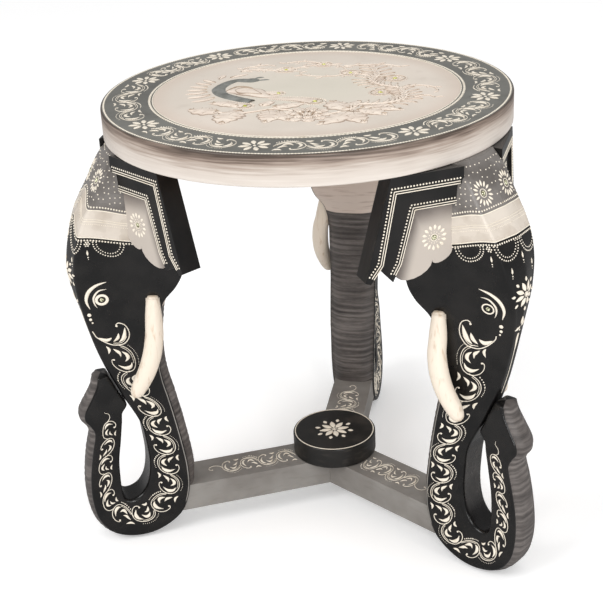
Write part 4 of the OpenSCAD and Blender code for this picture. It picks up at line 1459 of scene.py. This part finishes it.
def frond(drawing, veins, path, count, reach):
    """A stem with narrow leaflets that sweep forwards on both its sides."""
    stem = curve(path, 4 * count)
    drawing.line(stem, np.linspace(3.0, 1.2, len(stem)), 1.3)
    way, side = sideways(stem)
    for k in range(count):
        at = 4 * k + 1
        long = reach * (0.75 + 0.35 * np.sin(np.pi * (k + 0.5) / count))
        for hand in (1, -1):
            tip = stem[at] + (way[at] * 0.55 + side[at] * hand * 0.85) * long
            drawing.line(bow(stem[at], tip, -0.1 * hand, 7), plump(3.4, 7, 0.8), 0.9)
            veins.line(bow(stem[at] + (tip - stem[at]) * 0.2, tip, -0.1 * hand, 5), 0.5, 0.95)


def sprigs(drawing, path, pitch, long):
    """Small leaves alternately on both sides of a stem."""
    stem = curve(path, 40)
    drawing.line(stem, 1.5, 0.9)
    run = np.linalg.norm(np.diff(stem, axis=0), axis=1).sum()
    for k, at in enumerate(np.linspace(1, 38, int(run / pitch)).astype(int)):
        way = stem[at + 1] - stem[at]
        way /= np.linalg.norm(way)
        side = np.array([-way[1], way[0]]) * (1 if k % 2 else -1)
        drawing.leaf(stem[at], stem[at] + (way * 0.6 + side * 0.8) * long, long * 0.34, 0.15)


def peacock(drawing, veins, dark):
    """Dark crescent neck and head, paisley wing, crest and the fan of its breast."""
    neck = curve([(-57, 29), (-68, 28.5), (-80, 27.5), (-87.5, 13), (-89, -5), (-80, -23),
                  (-63, -36), (-44, -46)], 36)
    dark.line(neck, np.interp(np.linspace(0, 7, 36), np.arange(8),
                              [1.2, 12, 9, 11.5, 14.5, 14, 13, 12]), 1.8)
    dark.leaf((-73, 26), (-55, 32), 13, 0, proud=2.1)
    dark.leaf((-57, 30), (-46, 34), 4, 0.1)
    dark.leaf((-63, 37), (-54, 43.5), 4, 0.1)
    wing = curve([(-79, -12), (-66, -9), (-52, -13), (-38, -24), (-28, -26), (-19, -17)], 28)
    drawing.line(wing, np.interp(np.linspace(0, 5, 28), np.arange(6), [5, 27, 29, 15, 7, 3]),
                 1.7)
    drop = curve([(-70, -11), (-65, -2), (-55, -4), (-45, -16), (-40, -23), (-52, -21),
                  (-64, -20), (-70, -11)], 33)
    veins.line(drop, 0.9, 1.9)
    veins.line(curve([(-79, -12), (-73, 4), (-60, 4), (-45, -11), (-32, -22)], 24), 0.8, 1.1)
    for root, tip, broad in (((-99, 31), (-97, 49), 7), ((-90, 37), (-74, 54), 5.5),
                             ((-98, 20), (-116, 31), 6), ((-100, 12), (-120, 18), 6.5),
                             ((-101, 3), (-122, 4), 6.5), ((-99, -6), (-121, -10), 6.5),
                             ((-96, -14), (-118, -24), 7), ((-90, -24), (-112, -37), 7.5),
                             ((-83, -33), (-104, -50), 9)):
        blade(drawing, veins, root, tip, broad, 0.06, 0, 1.3, 1.0)


def tail(drawing, veins):
    """Three feathers, each with a roped edge round an eye."""
    for path, eye, radius in (([(-30, -31), (-18, -33), (0, -34), (17, -40)], (17, -40), 11),
                              ([(-44, -20), (-36, -14), (-25, -15)], (-25, -15), 7),
                              ([(-78, -50), (-66, -52), (-47, -60)], (-47, -60), 9)):
        middle = curve(path, 20)
        drawing.line(middle, np.linspace(5, radius * 1.7, 20), 0.9)
        side = sideways(middle)[1] * np.linspace(2.5, radius, 20)[:, None]
        for edge in (middle + side, middle - side, circle(eye, radius)):
            drawing.row(edge, 2.2, 0.9)
        veins.line(circle(eye, radius * 0.72), 0.7)
        drawing.line(circle(eye, radius * 0.5, 21), 1.4)


def peony(drawing, veins, middle, radius):
    """Two rings of frilled petals round a heap of stamens."""
    middle = np.array(middle, float)
    for count, inner, outer, broad, turned, proud in ((9, 0.42, 1.0, 0.56, 0.1, 1.0),
                                                      (7, 0.2, 0.66, 0.44, 0.5, 1.7)):
        for turn in turned + np.arange(count) * TAU / count:
            way = np.array([np.cos(turn), np.sin(turn)])
            blade(drawing, veins, middle + way * radius * inner, middle + way * radius * outer,
                  radius * broad, 0.04, 3, 1.5, proud)
    for k in range(12):
        turn, out = k * 2.4, radius * 0.055 * np.sqrt(k) * 1.3
        drawing.dot(middle[0] + out * np.cos(turn), middle[1] + out * np.sin(turn), 1.5)


def medallion():
    """The relief's three colours, in millimetres from the top's middle."""
    drawing, veins, dark = Ornament(), Ornament(), Ornament()
    sprigs(drawing, [(-84, 63), (-72, 72), (-58, 70), (-38, 73), (-20, 88), (-3, 97),
                     (16, 92), (32, 66), (50, 56), (60, 44)], 7.0, 11)
    sprigs(drawing, [(-3, 97), (-16, 106), (-30, 108), (-44, 100)], 8.0, 11)
    sprigs(drawing, [(32, 66), (18, 52), (-2, 50), (-18, 57), (-22, 70)], 8.0, 10)
    sprigs(drawing, [(20, 92), (40, 97), (60, 100), (80, 92)], 9.0, 11)
    sprigs(drawing, [(-84, 63), (-84, 76), (-74, 86), (-62, 92)], 8.0, 11)
    frond(drawing, veins, [(62, -48), (86, -42), (99, -28), (99, -8), (91, 12)], 11, 19)
    frond(drawing, veins, [(91, 12), (70, 22), (59, 38), (60, 62), (50, 92)], 12, 20)
    sprigs(drawing, [(91, 12), (108, 22), (122, 19), (130, 6)], 9.0, 9)
    sprigs(drawing, [(110, -20), (122, -12), (130, -18)], 9.0, 9)
    for middle, radius in (((-38, 73), 11), ((-3, 97), 10), ((32, 65), 11), ((75, -5), 11),
                           ((81, 47), 12)):
        eye_flower(drawing, veins, middle, radius)
    for start, end, broad, bend, lobes in (
            ((-66, -80), (-99, -74), 25, 0.1, 4), ((-52, -62), (-86, -54), 18, -0.1, 3),
            ((-45, -75), (-53, -120), 31, -0.1, 5), ((-22, -72), (-15, -113), 25, 0.1, 5),
            ((-30, -60), (-21, -42), 13, 0.1, 2), ((-20, -62), (9, -43), 19, -0.1, 4),
            ((-9, -73), (9, -106), 15, -0.1, 4), ((57, -62), (34, -35), 27, 0.15, 4),
            ((57, -68), (34, -114), 25, 0.1, 4), ((61, -70), (80, -106), 24, -0.1, 4),
            ((62, -66), (94, -80), 22, 0.1, 4), ((64, -58), (94, -42), 14, -0.1, 4),
            ((72, -64), (108, -62), 13, 0.08, 4), ((58, -60), (62, -34), 13, 0.1, 3)):
        blade(drawing, veins, start, end, broad, bend, lobes)
    drawing.line(curve([(-66, -84), (-51, -87), (-35, -80), (-20, -70), (-6, -70), (4, -74)],
                       24), 2.0, 1.2)
    drawing.line(curve([(38, -82), (48, -74), (58, -64)], 9), 2.2, 1.2)
    peony(drawing, veins, (19, -83), 24)
    for x, y in ((56, -66), (59, -62), (60, -67), (56, -61)):
        drawing.dot(x, y, 2.2)
    tail(drawing, veins)
    peacock(drawing, veins, dark)
    return drawing, veins, dark


def relief_paint(wire):
    """Pinkish cream, shaded brown towards each form's edge."""
    rim, _, _ = wire.read("mark").parts()
    cloud = wire.noise(wire.place(), 60.0)
    colour = cloud.step(0.35, 0.7).mix(srgb(240, 226, 211), srgb(228, 211, 196))
    colour = rim.step(0.72, 0.98).mix(colour, srgb(144, 118, 98))
    return {"Base Color": colour, "Roughness": 0.45 - cloud * 0.08}


def flat_paint(light, dark, rough):
    """A brushed tone that varies a little from place to place."""
    def paint(wire):
        cloud = wire.noise(wire.place(), 80.0)
        return {"Base Color": cloud.step(0.3, 0.7).mix(light, dark),
                "Roughness": rough - cloud * 0.1}
    return paint


relief, veins, dark = medallion()
piece("medallion_relief", relief.laid(top_chart), material("relief_cream", relief_paint))
piece("medallion_veins", veins.laid(top_chart), material("relief_shade", flat_paint(
    srgb(188, 168, 148), srgb(160, 140, 122), 0.5)))
piece("peacock_neck", dark.laid(top_chart), material("neck_grey", flat_paint(
    srgb(142, 143, 138), srgb(108, 109, 104), 0.42)))

# ---- The glass gems: yellow ones on the top, clear ones on caps, ears and in the eyes, and
# the hardware that hardly shows: beech dowels and steel screws.

GEM_D, EYE_GEM_D, GEM_SEAT, GEM_DOME, GEM_SIDES = 5.0, 4.5, 1.0, 1.4, 20
TOP_GEMS = [(-68, 28), (-47, -60), (-25, -15), (17, -40), (75, -5), (81, 47), (32, 65),
            (-3, 97), (-38, 73)]


def gem(chart, x, y, d, flip):
    """A gem at x, y of a chart: a short wall in its seat and above it a low dome, an arc of
    the circle through rim and crown, turned."""
    point, normal, to_x, to_y = (v[0] for v in on(chart, np.array([x]), np.array([y]), flip))
    rounding = (d * d / 4 + GEM_DOME ** 2) / (2 * GEM_DOME)
    half = np.arcsin(d / 2 / rounding)
    sweep = half * np.linspace(1, 0.01, 7)
    profile = np.concatenate([[(0.02, -GEM_SEAT), (d / 2, -GEM_SEAT)], np.stack(
        [rounding * np.sin(sweep), rounding * (np.cos(sweep) - np.cos(half))], -1)])
    turn = np.arange(GEM_SIDES) * TAU / GEM_SIDES
    grid = (point + profile[:, None, :1] * (to_x * np.cos(turn)[:, None]
                                            + to_y * np.sin(turn)[:, None])
            + profile[:, None, 1:] * normal)
    mark = np.zeros(grid.shape)
    mark[..., 0] = profile[:, :1] / d * 2
    return grid.reshape(-1, 3), quads(len(profile), GEM_SIDES, True), mark.reshape(-1, 3)


def glass_paint(light, dark):
    """Foil-backed glass under a polished face: its bright and dark flecks are painted glints and
    reflections.
    """
    def paint(wire):
        rim, _, _ = wire.read("mark").parts()
        # Painted glints: the bright and dark flecks stand for the facets' reflections
        glint = wire.noise(wire.place(), 900.0, 1.0).step(0.42, 0.6)
        colour = rim.step(0.75, 1.0).mix(glint.mix(light, dark), dark)
        return {"Base Color": colour, "Roughness": 0.06, "Coat Weight": 1.0}
    return paint


def metal_paint(wire):
    """Bare steel, cloudy."""
    cloud = wire.noise(wire.place(), 400.0)
    return {"Base Color": cloud.mix(srgb(188, 184, 172), srgb(150, 146, 136)),
            "Metallic": 1.0, "Roughness": 0.28 + cloud * 0.2}


def beech_paint(wire):
    """Pale wood, its grain upright."""
    grain = wire.noise(wire.place().stretched((1, 1, 0.2)), 400.0, 4.0)
    return {"Base Color": grain.mix(srgb(222, 190, 144), srgb(188, 148, 104)),
            "Roughness": 0.6, "Normal": grain.bump(0.0002, 0.4)}


yellow_glass = material("yellow_glass", glass_paint(srgb(246, 244, 170), srgb(168, 164, 60)))
clear_glass = material("clear_glass", glass_paint(srgb(232, 232, 196), srgb(96, 92, 66)))
piece("glass_on_top", [gem(top_chart, x, y, GEM_D, 1) for x, y in TOP_GEMS], yellow_glass,
      ["top_gems"])
caps, ears, eyes = [], [], []
for leg in LEG_ANGLES:
    out, left = ways(leg)
    for side in (1, -1):
        chart, middle = brow_chart(leg), CAP_ROSETTE * [side, 1]
        caps.append(gem(chart, *middle, GEM_D, flip_of(chart, *middle, out)))
        chart = ear_chart(leg, side, 0.0)
        ears.append(gem(chart, *ROSETTE, GEM_D, flip_of(chart, *ROSETTE,
                                                        ear_outward(leg, side))))
        chart, middle = cheek_chart(leg, side), eye_place(leg)
        eyes.append(gem(chart, *middle, EYE_GEM_D, flip_of(chart, *middle, left * side)))
piece("glass_on_caps", caps, clear_glass, ["cap_gems"])
piece("glass_on_ears", ears, clear_glass, ["ear_gems"])
piece("glass_eyes", eyes, clear_glass, ["eye_gems"])
steel, beech = material("screw_steel", metal_paint), material("beech", beech_paint)
for node, finish in (("top_screws", steel), ("hub_screws", steel), ("top_dowels", beech),
                     ("ear_dowels", beech), ("arm_dowels", beech)):
    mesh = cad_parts[node].data
    mesh.materials.clear()
    mesh.materials.append(finish)
